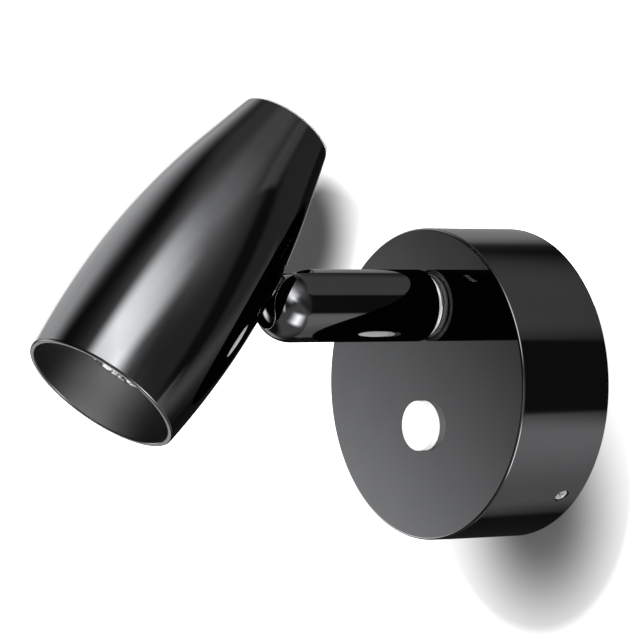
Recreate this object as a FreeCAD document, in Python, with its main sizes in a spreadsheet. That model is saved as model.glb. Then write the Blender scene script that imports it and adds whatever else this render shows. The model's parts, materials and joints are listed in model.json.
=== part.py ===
import FreeCAD, Part
import collections
import os
import re
import Sketcher

# A pivoting spotlight wall light. A round metal base screws to the wall. A short horizontal arm turns in
# its face, and a barrel-shaped lamp head tilts on a ball that sits in the slotted end of the arm.
# Millimetres, +Z up. The origin is the middle of the base's back, on the wall, and -Y points into the room.

# Driving sizes: the name of the cell, its value and what it is.
SIZES = [
    ("base_radius", 30.0, "outside of the base"),
    ("base_depth", 21.0, "wall to the face of the base"),
    ("cover_wall", 2.5, "round wall of the base cover"),
    ("cover_face", 2.5, "face of the base cover"),
    ("edge_round", 0.45, "rounded outer edge of the face"),
    ("plate_gap", 0.2, "cover to wall plate, all round"),
    ("plate_thickness", 2.0, "wall plate"),
    ("rim_height", 8.0, "wall to the front of the wall plate's rim"),
    ("rim_wall", 1.6, "rim of the wall plate"),
    ("wall_screw_inset", 7.3, "wall screw hole from the edge of the wall plate"),
    ("wall_screw_radius", 2.15, "wall screw hole"),
    ("wall_screw_sink", 4.2, "outside of the countersink"),
    ("cable_radius", 2.9, "hole of the cable grommet"),
    ("grommet_neck", 4.6, "grommet inside the plate's hole"),
    ("grommet_lip", 6.2, "flange of the grommet"),
    ("grommet_lip_depth", 1.4, "flange of the grommet, along its axis"),
    ("set_screw_radius", 1.5, "tapped hole of a set screw"),
    ("set_screw_height", 4.2, "wall to the axis of a set screw"),
    ("set_screw_angle", 45.0, "set screw, below the level"),
    ("set_screw_inset", 0.35, "set screw's head below the cover's surface"),
    ("set_screw_key", 1.5, "hexagon socket, across its flats"),
    ("set_screw_key_depth", 1.2, "hexagon socket"),
    ("thread_clearance", 0.05, "threaded piece in its hole"),
    ("running_clearance", 0.06, "turning piece in its hole"),
    ("arm_inset", 14.9, "arm axis from the edge of the base"),
    ("arm_radius", 6.9, "outside of the arm"),
    ("arm_bore", 5.9, "bore of the arm and socket of the ball"),
    ("arm_gap", 1.4, "arm to the face of the base"),
    ("arm_bevel", 0.2, "bevel round the back end of the arm"),
    ("pivot_reach", 31.8, "face of the base to the middle of the ball"),
    ("slot_clearance", 0.32, "slot in the arm's end, each side of the neck"),
    ("slot_low", 10.0, "lower end of the slot, below the arm's axis"),
    ("slot_high", 102.0, "upper end of the slot, above the arm's axis"),
    ("rest_tilt", 40.3, "neck above the arm's axis at rest"),
    ("ball_clearance", 0.05, "ball in its socket"),
    ("neck_radius", 3.0, "neck between ball and head"),
    ("neck_spigot", 2.4, "end of the neck inside the ball"),
    ("neck_bore", 1.5, "wire hole through the neck"),
    ("shaft_collar", 6.1, "threaded collar between arm and base"),
    ("shaft_radius", 5.0, "shaft through the face of the base"),
    ("shaft_bore", 3.2, "wire hole through the shaft"),
    ("shaft_grip", 9.5, "thread of the shaft inside the arm"),
    ("glide_thickness", 0.5, "glide washer"),
    ("glide_radius", 8.0, "glide washer"),
    ("stop_thickness", 1.0, "stop washer"),
    ("stop_radius", 7.4, "stop washer"),
    ("stop_tab_width", 2.4, "tab of the stop washer"),
    ("stop_pin_radius", 0.8, "stop pin"),
    ("stop_pin_gap", 1.0, "stop washer to the stop pin"),
    ("stop_pin_seat", 1.2, "stop pin inside the face of the base"),
    ("wave_height", 0.9, "sprung height of the spring washer"),
    ("wave_thickness", 0.4, "sheet of the spring washer"),
    ("shaft_nut_flats", 13.0, "shaft nut across its flats"),
    ("shaft_nut_thickness", 2.5, "shaft nut"),
    ("cup_start", 4.3, "middle of the ball to the front of the friction cup"),
    ("cup_end", 9.6, "middle of the ball to the back of the friction cup"),
    ("cup_bore", 2.6, "wire hole through the friction cup"),
    ("spring_radius", 4.7, "coil of the pressure spring, to the middle of its wire"),
    ("spring_wire", 0.45, "radius of the pressure spring's wire"),
    ("spring_turns", 5.0, "pressure spring"),
    ("head_length", 63.8, "mouth to the back edge of the head"),
    ("mouth_radius", 15.28, "outside of the head at its mouth"),
    ("belly_radius", 16.47, "outside of the head where it is widest"),
    ("belly_station", 19.4, "mouth to the widest place"),
    ("waist_station", 53.0, "mouth to where the round side turns straight"),
    ("tail_radius", 9.35, "outside of the head at its back edge"),
    ("neck_station", 39.6, "mouth to the neck's axis"),
    ("head_offset", 22.3, "middle of the ball to the head's axis"),
    ("mouth_bore", 14.25, "inside of the head in front of the heat sink"),
    ("sink_bore", 12.4, "inside of the head round the heat sink"),
    ("tail_bore", 8.1, "inside of the head at its back"),
    ("sink_shoulder", 21.0, "mouth to the shoulder that carries the lamp board"),
    ("tail_shoulder", 49.0, "mouth to the start of the back bore"),
    ("bezel_depth", 9.7, "mouth to the front of the lens bezel"),
    ("bezel_thickness", 0.8, "lens bezel"),
    ("bezel_width", 0.8, "lens bezel, from the bore to its opening"),
    ("lens_flange", 1.4, "flange of the lens"),
    ("lens_root", 5.0, "back end of the lens"),
    ("lamp_board_thickness", 1.6, "lamp board"),
    ("sink_length", 12.0, "heat sink"),
    ("collar_radius", 3.7, "washer between neck and head"),
    ("collar_thickness", 0.35, "washer between neck and head"),
    ("saddle_depth", 1.6, "saddle washer under the neck nut, at its edge"),
    ("neck_nut_flats", 8.0, "neck nut across its flats"),
    ("neck_nut_thickness", 2.2, "neck nut"),
    ("shell_lip", 0.4, "bevel round the back edge of the head"),
    ("mouth_round", 0.3, "rounded outer edge of the mouth"),
    ("cap_proud", 1.15, "diffuser cap behind the head"),
    ("cap_plug", 4.5, "plug of the diffuser cap, inside the head"),
    ("cap_wall", 1.2, "wall of the diffuser cap"),
    ("button_radius", 4.8, "button"),
    ("button_drop", 8.0, "button below the middle of the base"),
    ("button_proud", 1.7, "button in front of the face"),
    ("button_dish", 0.35, "hollow of the button's top"),
    ("button_clearance", 0.12, "button in its hole"),
    ("button_flange", 6.4, "flange that keeps the button in"),
    ("button_lip", 0.9, "rounded edge of the button's top"),
    ("button_travel", 0.4, "press of the button"),
    ("board_thickness", 1.6, "driver board"),
    ("board_setback", 5.7, "inside of the face to the driver board"),
    ("board_inset", 3.3, "driver board from the cover's wall"),
    ("board_top", 3.2, "upper edge of the driver board"),
    ("boss_radius", 3.0, "screw boss of the driver board"),
    ("boss_inset", 3.8, "screw boss from the edge of the driver board"),
    ("boss_angle", 25.0, "side bosses, below the level"),
    ("board_screw_radius", 1.2, "driver board screw"),
    ("board_screw_head", 2.2, "head of a driver board screw"),
    ("wire_radius", 0.55, "inner wires"),
    ("wire_half_gap", 0.75, "inner wires, from the middle of the pair"),
]

# Sizes worked out from the driving ones.
WORKED_OUT = [
    ("cover_bore", "=base_radius - cover_wall", "inside of the base cover"),
    ("face_inside", "=base_depth - cover_face", "wall to the inside of the face"),
    ("plate_radius", "=cover_bore - plate_gap", "wall plate"),
    ("wall_screw_spacing", "=2 * (plate_radius - wall_screw_inset)", "between the two wall screw holes"),
    ("arm_height", "=base_radius - arm_inset", "arm axis above the middle of the base"),
    ("slot_radius", "=neck_radius + slot_clearance", "half the width of the slot in the arm's end"),
    ("stop_pin_circle", "=stop_radius + stop_pin_gap + stop_pin_radius", "arm axis to the stop pin"),
    ("stop_tab_reach", "=stop_pin_circle + stop_pin_radius + 0.4",
     "arm axis to the end of the stop washer's tab"),
    ("board_radius", "=cover_bore - board_inset", "driver board"),
    ("boss_circle", "=board_radius - boss_inset", "screw bosses from the middle"),
    ("pivot_depth", "=base_depth + pivot_reach", "wall to the middle of the ball"),
    ("arm_start", "=base_depth + arm_gap", "wall to the back end of the arm"),
    ("ball_radius", "=arm_bore - ball_clearance", "ball"),
    ("board_front", "=face_inside - board_setback", "wall to the front of the driver board"),
    ("board_back", "=board_front - board_thickness", "wall to the back of the driver board"),
    ("switch_front", "=board_front + 3.2", "wall to the front of the switch"),
    ("plunger_front", "=switch_front + 0.5 + button_travel", "wall to the tip of the switch's plunger"),
    ("stop_front", "=face_inside - glide_thickness", "wall to the front of the stop washer"),
    ("stop_back", "=stop_front - stop_thickness", "wall to the back of the stop washer"),
    ("nut_front", "=stop_back - wave_height", "wall to the front of the shaft nut"),
    ("nut_back", "=nut_front - shaft_nut_thickness", "wall to the back of the shaft nut"),
    ("shaft_back", "=nut_back - 0.6", "wall to the back end of the shaft"),
    ("front_arc", "=((belly_radius - mouth_radius)^2 + belly_station^2) / 2 / (belly_radius - mouth_radius)",
     "round side in front of the widest place"),
    ("waist_run", "=waist_station - belly_station", "widest place to the straight side"),
    ("tail_run", "=head_length - waist_station", "length of the straight side"),
    ("rear_arc", "=waist_run * (waist_run / 2 + tail_run) / (belly_radius - tail_radius)",
     "round side behind the widest place"),
    ("neck_wall", "=belly_radius - rear_arc + sqrt(rear_arc^2 - (neck_station - belly_station)^2)",
     "head's axis to its surface at the neck"),
    ("neck_seat", "=head_offset - neck_wall + 0.25", "middle of the ball to the flat on the head"),
    ("saddle_flat", "=sink_bore - saddle_depth", "head's axis to the flat of the saddle washer"),
    ("nut_flat", "=saddle_flat - neck_nut_thickness", "head's axis to the inner face of the neck nut"),
    ("bezel_opening", "=mouth_bore - bezel_width", "opening of the lens bezel"),
    ("lens_front", "=bezel_depth + bezel_thickness", "mouth to the front of the lens flange"),
    ("lens_waist", "=lens_front + lens_flange", "mouth to the back of the lens flange"),
    ("lamp_board_front", "=sink_shoulder - lamp_board_thickness", "mouth to the front of the lamp board"),
    ("cap_radius", "=tail_radius - shell_lip", "rim of the diffuser cap"),
]

doc = FreeCAD.newDocument("wall_spotlight")
sheet = doc.addObject("Spreadsheet::Sheet", "Sizes")
for row, (alias, size, meaning) in enumerate(SIZES + WORKED_OUT, start=1):
    sheet.set("A%d" % row, alias)
    sheet.set("B%d" % row, str(size))
    sheet.setAlias("B%d" % row, alias)
    sheet.set("C%d" % row, meaning)
doc.recompute()

SIZE_NAME = re.compile(r"\b(%s)\b" % "|".join(alias for alias, _, _ in SIZES + WORKED_OUT))

# A Bend between two corners of an outline makes their edge an arc about (across, up).
Bend = collections.namedtuple("Bend", "across up turn")
WORKED_BY_ARC = {"across": "DistanceX", "up": "DistanceY"}
sub_parts = []


# ---------------------------------------------------------------- how the pieces are drawn

def sized(words):
    """The expression with each size's name pointed at its cell."""
    return SIZE_NAME.sub(r"Sizes.\1", str(words))


def bind(thing, size, words):
    thing.setExpression(size, sized(words))


def worth(words):
    """What an expression comes to now."""
    return float(sheet.evalExpression(sized(words)))


# Where the pieces stand. The arm's pieces turn about the arm's axis, the head's stand on its own axis.
ON_WALL = "placement(vector(0; 0; 0); rotation(vector(0; 0; 1); 0))"
ON_ARM = "placement(vector(0; 0; arm_height); rotation(vector(0; 0; 1); 0))"
ON_BUTTON = "placement(vector(0; 0; -button_drop); rotation(vector(0; 0; 1); 0))"
AT_PIVOT = "placement(vector(0; -pivot_depth; arm_height); rotation(vector(1; 0; 0); -rest_tilt))"
ON_HEAD = AT_PIVOT + " * placement(vector(0; -head_offset; -neck_station); rotation(vector(1; 0; 0); 0))"


def new_body(label, stand):
    body = doc.addObject("PartDesign::Body", label)
    body.Label = label
    bind(body, "Placement", stand)
    sub_parts.append(body)
    return body


def new_sketch(body, plane, lift=None):
    """A sketch on one of the body's own planes, lifted along the plane's normal."""
    support = [part for part in body.Origin.OriginFeatures if part.Role == plane + "_Plane"][0]
    sketch = body.newObject("Sketcher::SketchObject", body.Name + "_sketch")
    sketch.AttachmentSupport = (support, [""])
    sketch.MapMode = "FlatFace"
    if lift is not None:
        bind(sketch, "AttachmentOffset.Base.z", lift)
    return sketch


def hold(sketch, kind, places, words):
    row = sketch.addConstraint(Sketcher.Constraint(kind, *places, worth(words)))
    bind(sketch, "Constraints[%d]" % row, words)


def circles(sketch, *rounds):
    """Circles given as (across, up, radius)."""
    for across, up, radius in rounds:
        middle = FreeCAD.Vector(worth(across), worth(up), 0)
        edge = sketch.addGeometry(Part.Circle(middle, FreeCAD.Vector(0, 0, 1), worth(radius)), False)
        hold(sketch, "DistanceX", (-1, 1, edge, 3), across)
        hold(sketch, "DistanceY", (-1, 1, edge, 3), up)
        hold(sketch, "Radius", (edge,), radius)
    return sketch


def outline(sketch, *path):
    """A closed outline of corners (across, up), with a Bend between two corners that an arc joins.

    A corner's third word names the direction that the arc into it works out by itself."""
    corners = []
    bends = {}
    for step in path:
        if isinstance(step, Bend):
            bends[len(corners) - 1] = step
        else:
            corners.append(step)
    spots = [FreeCAD.Vector(worth(corner[0]), worth(corner[1]), 0) for corner in corners]
    first = sketch.GeometryCount
    ends = []
    for number, spot in enumerate(spots):
        following = spots[(number + 1) % len(spots)]
        bend = bends.get(number)
        if bend is None:
            sketch.addGeometry(Part.LineSegment(spot, following), False)
            ends.append((1, 2))
            continue
        middle = FreeCAD.Vector(worth(bend.across), worth(bend.up), 0)
        circle = Part.Circle(middle, FreeCAD.Vector(0, 0, 1), spot.distanceToPoint(middle))
        start, stop = (spot, following) if bend.turn == "left" else (following, spot)
        sketch.addGeometry(Part.ArcOfCircle(circle, circle.parameter(start), circle.parameter(stop)), False)
        ends.append((1, 2) if bend.turn == "left" else (2, 1))
    for number in range(len(corners)):
        after = (number + 1) % len(corners)
        sketch.addConstraint(Sketcher.Constraint(
            "Coincident", first + number, ends[number][1], first + after, ends[after][0]))
    for number, corner in enumerate(corners):
        free = corner[2] if len(corner) > 2 else None
        for way, words in zip(WORKED_BY_ARC, corner):
            if way != free:
                hold(sketch, WORKED_BY_ARC[way], (-1, 1, first + number, ends[number][0]), words)
    for number, bend in bends.items():
        hold(sketch, "DistanceX", (-1, 1, first + number, 3), bend.across)
        hold(sketch, "DistanceY", (-1, 1, first + number, 3), bend.up)
    return sketch


def box_outline(sketch, left, right, bottom, top):
    return outline(sketch, (left, bottom), (right, bottom), (right, top), (left, top))


def hexagon(sketch, flats, middle=("0", "0")):
    """A hexagon given by its size across the flats, with a corner to each side."""
    across, up = middle
    corner = "(%s) / sqrt(3)" % flats
    path = []
    for side_step, up_step in ((1, 0), (0.5, 1), (-0.5, 1), (-1, 0), (-0.5, -1), (0.5, -1)):
        path.append(("%s + %s * %s" % (across, side_step, corner),
                     "%s + %s * (%s) / 2" % (up, up_step, flats)))
    return outline(sketch, *path)


def finish_feature(body, feature, more):
    """Recompute, and see that the feature really added or took away."""
    before = body.Shape.Volume if body.Shape and not body.Shape.isNull() else 0.0
    doc.recompute()
    change = body.Shape.Volume - before
    if (change <= 0) if more else (change >= 0):
        raise RuntimeError("%s in %s changes nothing: %.4f" % (feature.Name, body.Label, change))
    return feature


def pad(body, sketch, length, backwards=False, both_ways=False):
    feature = body.newObject("PartDesign::Pad", body.Name + "_pad")
    feature.Profile = sketch
    bind(feature, "Length", length)
    feature.Reversed = backwards
    feature.Midplane = both_ways
    return finish_feature(body, feature, True)


def pocket(body, sketch, depth, backwards=False, both_ways=False):
    feature = body.newObject("PartDesign::Pocket", body.Name + "_pocket")
    feature.Profile = sketch
    bind(feature, "Length", depth)
    feature.Reversed = backwards
    feature.Midplane = both_ways
    return finish_feature(body, feature, False)


def revolve(body, sketch, degrees="360", backwards=False, axis="V_Axis"):
    feature = body.newObject("PartDesign::Revolution", body.Name + "_turned")
    feature.Profile = sketch
    feature.ReferenceAxis = (sketch, [axis])
    bind(feature, "Angle", degrees)
    feature.Reversed = backwards
    return finish_feature(body, feature, True)


def groove(body, sketch, degrees="360", backwards=False, axis="V_Axis"):
    feature = body.newObject("PartDesign::Groove", body.Name + "_groove")
    feature.Profile = sketch
    feature.ReferenceAxis = (sketch, [axis])
    bind(feature, "Angle", degrees)
    feature.Reversed = backwards
    return finish_feature(body, feature, False)


def ring_pattern(body, features, axis, count, degrees="360", more=True):
    """Repeat features about one of the body's own axes."""
    feature = body.newObject("PartDesign::PolarPattern", body.Name + "_ring")
    feature.Originals = features
    feature.Axis = ([part for part in body.Origin.OriginFeatures if part.Role == axis + "_Axis"][0], [""])
    bind(feature, "Angle", degrees)
    feature.Occurrences = count
    body.Tip = feature
    return finish_feature(body, feature, more)


def round_edges(body, size, picks, feature_type="PartDesign::Fillet"):
    """Round or chamfer the edges of the body's last feature that picks() chooses."""
    base = body.Tip
    names = ["Edge%d" % (number + 1) for number, edge in enumerate(base.Shape.Edges) if picks(edge)]
    if not names:
        raise RuntimeError("no edge to round on " + body.Label)
    feature = body.newObject(feature_type, body.Name + "_edge")
    feature.Base = (base, names)
    bind(feature, "Radius" if feature_type.endswith("Fillet") else "Size", size)
    return finish_feature(body, feature, False)


def is_ring(edge, radius, along=None, place=None):
    """Whether an edge is a full circle of that radius, with its middle at place on an axis."""
    curve = edge.Curve
    if not edge.isClosed() or not hasattr(curve, "Radius") or abs(curve.Radius - radius) > 1e-4:
        return False
    return along is None or abs(getattr(curve.Center, along) - place) < 1e-4


def sheet_washer(label, stand, bore, radius, front, back):
    """A flat washer about the Y axis, between two distances from the wall."""
    washer = new_body(label, stand)
    pad(washer, circles(new_sketch(washer, "XZ", back), ("0", "0", radius), ("0", "0", bore)),
        "(%s) - (%s)" % (front, back))
    return washer


# ---------------------------------------------------------------- base, fixed to the wall

def base_cover():
    """A turned cup, open to the wall, with the arm's hole, the button's hole and three screw bosses."""
    cover = new_body("base_cover", ON_WALL)
    revolve(cover, outline(new_sketch(cover, "XY"),
                           ("cover_bore", "0"), ("base_radius", "0"), ("base_radius", "-base_depth"),
                           ("0", "-base_depth"), ("0", "-face_inside"), ("cover_bore", "-face_inside")))
    pad(cover, circles(new_sketch(cover, "XZ", "board_front"), *[
        (across, up, "boss_radius") for across, up in BOSSES]), "board_setback + cover_face / 2")
    pocket(cover, circles(new_sketch(cover, "XZ", "board_front"), *[
        (across, up, "board_screw_radius") for across, up in BOSSES]), "board_setback - 0.7", backwards=True)
    pocket(cover, circles(new_sketch(cover, "XZ", "face_inside - 1"),
                          ("0", "arm_height", "shaft_radius + running_clearance"),
                          ("0", "-button_drop", "button_radius + button_clearance")),
           "cover_face + 2", backwards=True)
    pocket(cover, circles(new_sketch(cover, "XZ", "face_inside"),
                          ("0", "arm_height - stop_pin_circle", "stop_pin_radius")),
           "stop_pin_seat", backwards=True)
    for side in ("", "180 - "):
        hole = new_sketch(cover, "XY", "0")
        bind(hole, "AttachmentOffset", "placement(vector(0; 0; 0); rotation(vector(0; 1; 0); 90 + %s"
             "set_screw_angle))" % side)
        circles(hole, ("0", "-set_screw_height", "set_screw_radius"))
        pocket(cover, hole, "base_radius + 1", backwards=True)
    round_edges(cover, "edge_round", lambda edge: is_ring(edge, worth("base_radius"), "y", -worth("base_depth")))
    return cover


def wall_plate():
    """The pressed cup that screws to the wall, which the cover slides over."""
    plate = new_body("wall_plate", ON_WALL)
    revolve(plate, outline(new_sketch(plate, "XY"),
                           ("grommet_neck", "0"), ("plate_radius", "0"), ("plate_radius", "-rim_height"),
                           ("plate_radius - rim_wall", "-rim_height"),
                           ("plate_radius - rim_wall", "-plate_thickness"), ("grommet_neck", "-plate_thickness")))
    holes = circles(new_sketch(plate, "XZ"), *[
        (side + "wall_screw_spacing / 2", "0", "wall_screw_radius") for side in ("", "-")])
    pocket(plate, holes, "plate_thickness", backwards=True)
    round_edges(plate, "(wall_screw_sink - wall_screw_radius) * 0.6",
                lambda edge: is_ring(edge, worth("wall_screw_radius"), "y", -worth("plate_thickness")),
                "PartDesign::Chamfer")
    return plate


def cable_grommet():
    """The rubber ring that the supply cable comes through, gripping the plate between its two lips."""
    grommet = new_body("cable_grommet", ON_WALL)
    revolve(grommet, outline(new_sketch(grommet, "XY"),
                             ("cable_radius", "0"), ("grommet_neck", "0"), ("grommet_neck", "-plate_thickness"),
                             ("grommet_lip", "-plate_thickness"),
                             ("grommet_neck + 0.4", "-plate_thickness - grommet_lip_depth"),
                             ("cable_radius", "-plate_thickness - grommet_lip_depth")))
    return grommet


def cover_set_screws():
    """Two set screws with hexagon sockets, which clamp the cover to the rim of the wall plate."""
    screws = new_body("cover_set_screws",
                      "placement(vector(0; -set_screw_height; 0); rotation(vector(0; 1; 0); set_screw_angle))")
    body_sketch = new_sketch(screws, "YZ", "plate_radius")
    circles(body_sketch, ("0", "0", "set_screw_radius - thread_clearance"))
    shank = pad(screws, body_sketch, "base_radius - set_screw_inset - plate_radius")
    key = new_sketch(screws, "YZ", "base_radius - set_screw_inset")
    hexagon(key, "set_screw_key")
    socket = pocket(screws, key, "set_screw_key_depth")
    ring_pattern(screws, [shank, socket], "Y", 2, "180 - 2 * set_screw_angle")
    return screws


BOSSES = [("boss_circle * cos(boss_angle)", "-boss_circle * sin(boss_angle)"),
          ("-boss_circle * cos(boss_angle)", "-boss_circle * sin(boss_angle)"), ("0", "-boss_circle")]


def driver_board():
    """The round circuit board behind the face, cut level below the arm's shaft."""
    board = new_body("driver_board", ON_WALL)
    chord = "sqrt(board_radius^2 - board_top^2)"
    outline_sketch = outline(new_sketch(board, "XZ", "board_back"),
                             ("-" + chord, "board_top"), Bend("0", "0", "left"), (chord, "board_top", "across"))
    circles(outline_sketch, *[(across, up, "board_screw_radius + 0.1") for across, up in BOSSES])
    pad(board, outline_sketch, "board_thickness")
    return board


def board_screws():
    """Three pan head screws that hold the driver board to the cover's bosses."""
    screws = new_body("board_screws", ON_WALL)
    pad(screws, circles(new_sketch(screws, "XZ", "board_back"), *[
        (across, up, "board_screw_head") for across, up in BOSSES]), "1.3", backwards=True)
    pad(screws, circles(new_sketch(screws, "XZ", "board_back"), *[
        (across, up, "board_screw_radius - thread_clearance") for across, up in BOSSES]),
        "board_thickness + board_setback - 1.2")
    slots = new_sketch(screws, "XZ", "board_back - 1.3")
    for across, up in BOSSES:
        box_outline(slots, across + " - 1.4", across + " + 1.4", up + " - 0.25", up + " + 0.25")
    pocket(screws, slots, "0.7", backwards=True)
    return screws


def board_block(label, across, up, width, tall, height):
    """A square-edged component soldered to the back of the driver board."""
    block = new_body(label, ON_WALL)
    pad(block, box_outline(new_sketch(block, "XZ", "board_back"),
                           "%s - %s / 2" % (across, width), "%s + %s / 2" % (across, width),
                           "%s - %s / 2" % (up, tall), "%s + %s / 2" % (up, tall)), height, backwards=True)
    return block


def board_can(label, across, up, radius, height, waist):
    """A round component with a groove or a waist round it."""
    can = new_body(label, "placement(vector(%s; 0; %s); rotation(vector(0; 0; 1); 0))" % (across, up))
    seat, top = "-board_back", "-board_back + %s" % height
    revolve(can, outline(new_sketch(can, "XY"),
                         ("0", seat), (radius, seat), (radius, "%s + 1" % seat), (waist, "%s + 1.5" % seat),
                         (waist, "%s - 1.2" % top), (radius, "%s - 0.8" % top), (radius, top), ("0", top)))
    return can


def terminal_block():
    """The two-way block that the supply wires screw into."""
    block = board_block("terminal_block", "-10", "-7", "10", "8", "6.5")
    entry = new_sketch(block, "XY", "-3")
    circles(entry, ("-12.5", "-board_back + 2.6", "1.3"), ("-7.5", "-board_back + 2.6", "1.3"))
    pocket(block, entry, "5")
    wells = circles(new_sketch(block, "XZ", "board_back - 6.5"), ("-12.5", "-9", "1.3"), ("-7.5", "-9", "1.3"))
    pocket(block, wells, "2.6", backwards=True)
    return block


def switch_housing():
    """The square housing of the press switch, open in front for its plunger."""
    housing = new_body("switch_housing", ON_BUTTON)
    pad(housing, box_outline(new_sketch(housing, "XZ", "board_front"), "-3", "3", "-3", "3"),
        "switch_front - board_front")
    pocket(housing, circles(new_sketch(housing, "XZ", "switch_front"), ("0", "0", "1.85")), "1.6")
    return housing


def stop_pin():
    pin = new_body("stop_pin", "placement(vector(0; 0; arm_height - stop_pin_circle); "
                               "rotation(vector(0; 0; 1); 0))")
    pad(pin, circles(new_sketch(pin, "XZ", "stop_back"), ("0", "0", "stop_pin_radius")),
        "face_inside + stop_pin_seat - stop_back")
    return pin


def wire_pair(label, stand, path):
    """Two round wires side by side, along a path in the upright plane through the lamp."""
    pair = new_body(label, stand)
    first_way = "XZ" if path[0][1] == path[1][1] else "XY"
    for side in ("-", ""):
        spine = new_sketch(pair, "YZ", side + "wire_half_gap")
        open_path(spine, path)
        lift = "-(%s)" % path[0][0] if first_way == "XZ" else path[0][1]
        profile = new_sketch(pair, first_way, lift)
        up = path[0][1] if first_way == "XZ" else path[0][0]
        circles(profile, (side + "wire_half_gap", up, "wire_radius"))
        pipe = pair.newObject("PartDesign::AdditivePipe", label + "_wire")
        pipe.Profile = profile
        pipe.Spine = (spine, ["Edge%d" % (number + 1) for number in range(spine.GeometryCount)])
        finish_feature(pair, pipe, True)
    return pair


def open_path(sketch, path):
    """Straight runs that turn square through arcs. A path is its corners (across, up) with a turn radius."""
    spots = [FreeCAD.Vector(worth(across), worth(up), 0) for across, up, _ in path]
    runs = len(spots) - 1
    pieces = []
    start = spots[0]
    for number in range(1, runs):
        into = (spots[number] - spots[number - 1]).normalize()
        out = (spots[number + 1] - spots[number]).normalize()
        radius = worth(path[number][2])
        first, last = spots[number] - into * radius, spots[number] + out * radius
        middle = spots[number] + (out - into) * radius
        shoulder = middle + (into - out).normalize() * radius
        pieces.append(Part.LineSegment(start, first))
        pieces.append(Part.Arc(first, shoulder, last))
        start = last
    pieces.append(Part.LineSegment(start, spots[-1]))
    for piece in pieces:
        sketch.addGeometry(piece, False)
    return sketch


# ---------------------------------------------------------------- button

def button_cap():
    """The round button: a hollow top with a rounded lip, a flange that keeps it in, and a stem."""
    cap = new_body("button_cap", ON_BUTTON)
    top = "-base_depth - button_proud"
    flange_front = "-face_inside + 0.03"
    revolve(cap, outline(new_sketch(cap, "XY"),
                         ("0", top + " + button_dish"),
                         ("button_radius - button_lip - 0.6", top + " + button_dish"),
                         ("button_radius - button_lip - 0.2", top + " + 0.08"),
                         ("button_radius - button_lip", top),
                         Bend("button_radius - button_lip", top + " + button_lip", "left"),
                         ("button_radius", top + " + button_lip", "across"),
                         ("button_radius", flange_front), ("button_flange", flange_front),
                         ("button_flange", flange_front + " + 1"), ("1.6", flange_front + " + 1"),
                         ("1.6", "-plunger_front"), ("0", "-plunger_front")))
    return cap


def switch_plunger():
    """The plunger of the press switch, which follows the button."""
    plunger = new_body("switch_plunger", ON_BUTTON)
    pad(plunger, circles(new_sketch(plunger, "XZ", "switch_front - 1"), ("0", "0", "1.7")),
        "plunger_front - switch_front + 1")
    return plunger


# ---------------------------------------------------------------- arm

def arm_tube():
    """The arm: a bored bar with a round end, slotted so that the neck can swing up through it."""
    arm = new_body("arm_tube", ON_ARM)
    revolve(arm, outline(new_sketch(arm, "XY"),
                         ("0", "-pivot_depth - arm_radius"), Bend("0", "-pivot_depth", "left"),
                         ("arm_radius", "-pivot_depth", "across"), ("arm_radius", "-arm_start"),
                         ("arm_bore", "-arm_start"), ("arm_bore", "-pivot_depth"),
                         Bend("0", "-pivot_depth", "right"), ("0", "-pivot_depth - arm_bore", "up")))
    for angle in ("slot_high", "-slot_low"):
        end = new_sketch(arm, "XZ")
        bind(end, "AttachmentOffset",
             "placement(vector(0; 0; pivot_depth); rotation(vector(1; 0; 0); -%s))" % angle)
        circles(end, ("0", "0", "slot_radius"))
        pocket(arm, end, "arm_radius + 2", backwards=True)
    fan = new_sketch(arm, "YZ")
    reach = "(arm_radius + 3)"
    outline(fan, ("-pivot_depth", "0"),
            ("-pivot_depth - %s * cos(slot_low)" % reach, "-%s * sin(slot_low)" % reach),
            Bend("-pivot_depth", "0", "right"),
            ("-pivot_depth - %s * cos(slot_high)" % reach, "%s * sin(slot_high)" % reach, "up"))
    pocket(arm, fan, "2 * slot_radius", both_ways=True)
    round_edges(arm, "arm_bevel", lambda edge: is_ring(edge, worth("arm_radius"), "y", -worth("arm_start")),
                "PartDesign::Chamfer")
    return arm


def swivel_shaft():
    """The hollow shaft that screws into the arm and turns in the face of the base."""
    shaft = new_body("swivel_shaft", ON_ARM)
    revolve(shaft, outline(new_sketch(shaft, "XY"),
                           ("shaft_bore", "-arm_start - shaft_grip"),
                           ("arm_bore - thread_clearance", "-arm_start - shaft_grip"),
                           ("arm_bore - thread_clearance", "-arm_start"),
                           ("shaft_collar", "-arm_start"), ("shaft_collar", "-base_depth - 0.05"),
                           ("shaft_radius", "-base_depth - 0.05"), ("shaft_radius", "-shaft_back"),
                           ("shaft_bore", "-shaft_back")))
    return shaft


def stop_washer():
    """The washer whose tab meets the stop pin near the end of a full turn."""
    washer = sheet_washer("stop_washer", ON_ARM, "shaft_radius", "stop_radius", "stop_front", "stop_back")
    tab = new_sketch(washer, "XZ", "stop_back")
    box_outline(tab, "-stop_tab_width / 2", "stop_tab_width / 2", "shaft_radius + 1", "stop_tab_reach")
    pad(washer, tab, "stop_thickness")
    return washer


def wave_washer():
    """The sprung washer, a shallow cone pressed flat enough to give the arm its friction."""
    washer = new_body("wave_washer", ON_ARM)
    revolve(washer, outline(new_sketch(washer, "XY"),
                            ("shaft_radius + 0.1", "-nut_front - wave_thickness"),
                            ("shaft_radius + 0.1", "-nut_front"), ("shaft_radius + 0.5", "-nut_front"),
                            ("stop_radius - 0.1", "-stop_back + wave_thickness"),
                            ("stop_radius - 0.1", "-stop_back"), ("stop_radius - 0.5", "-stop_back")))
    return washer


def shaft_nut():
    nut = new_body("shaft_nut", ON_ARM)
    sides = new_sketch(nut, "XZ", "nut_back")
    hexagon(sides, "shaft_nut_flats")
    circles(sides, ("0", "0", "shaft_radius + thread_clearance"))
    pad(nut, sides, "shaft_nut_thickness")
    return nut


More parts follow.
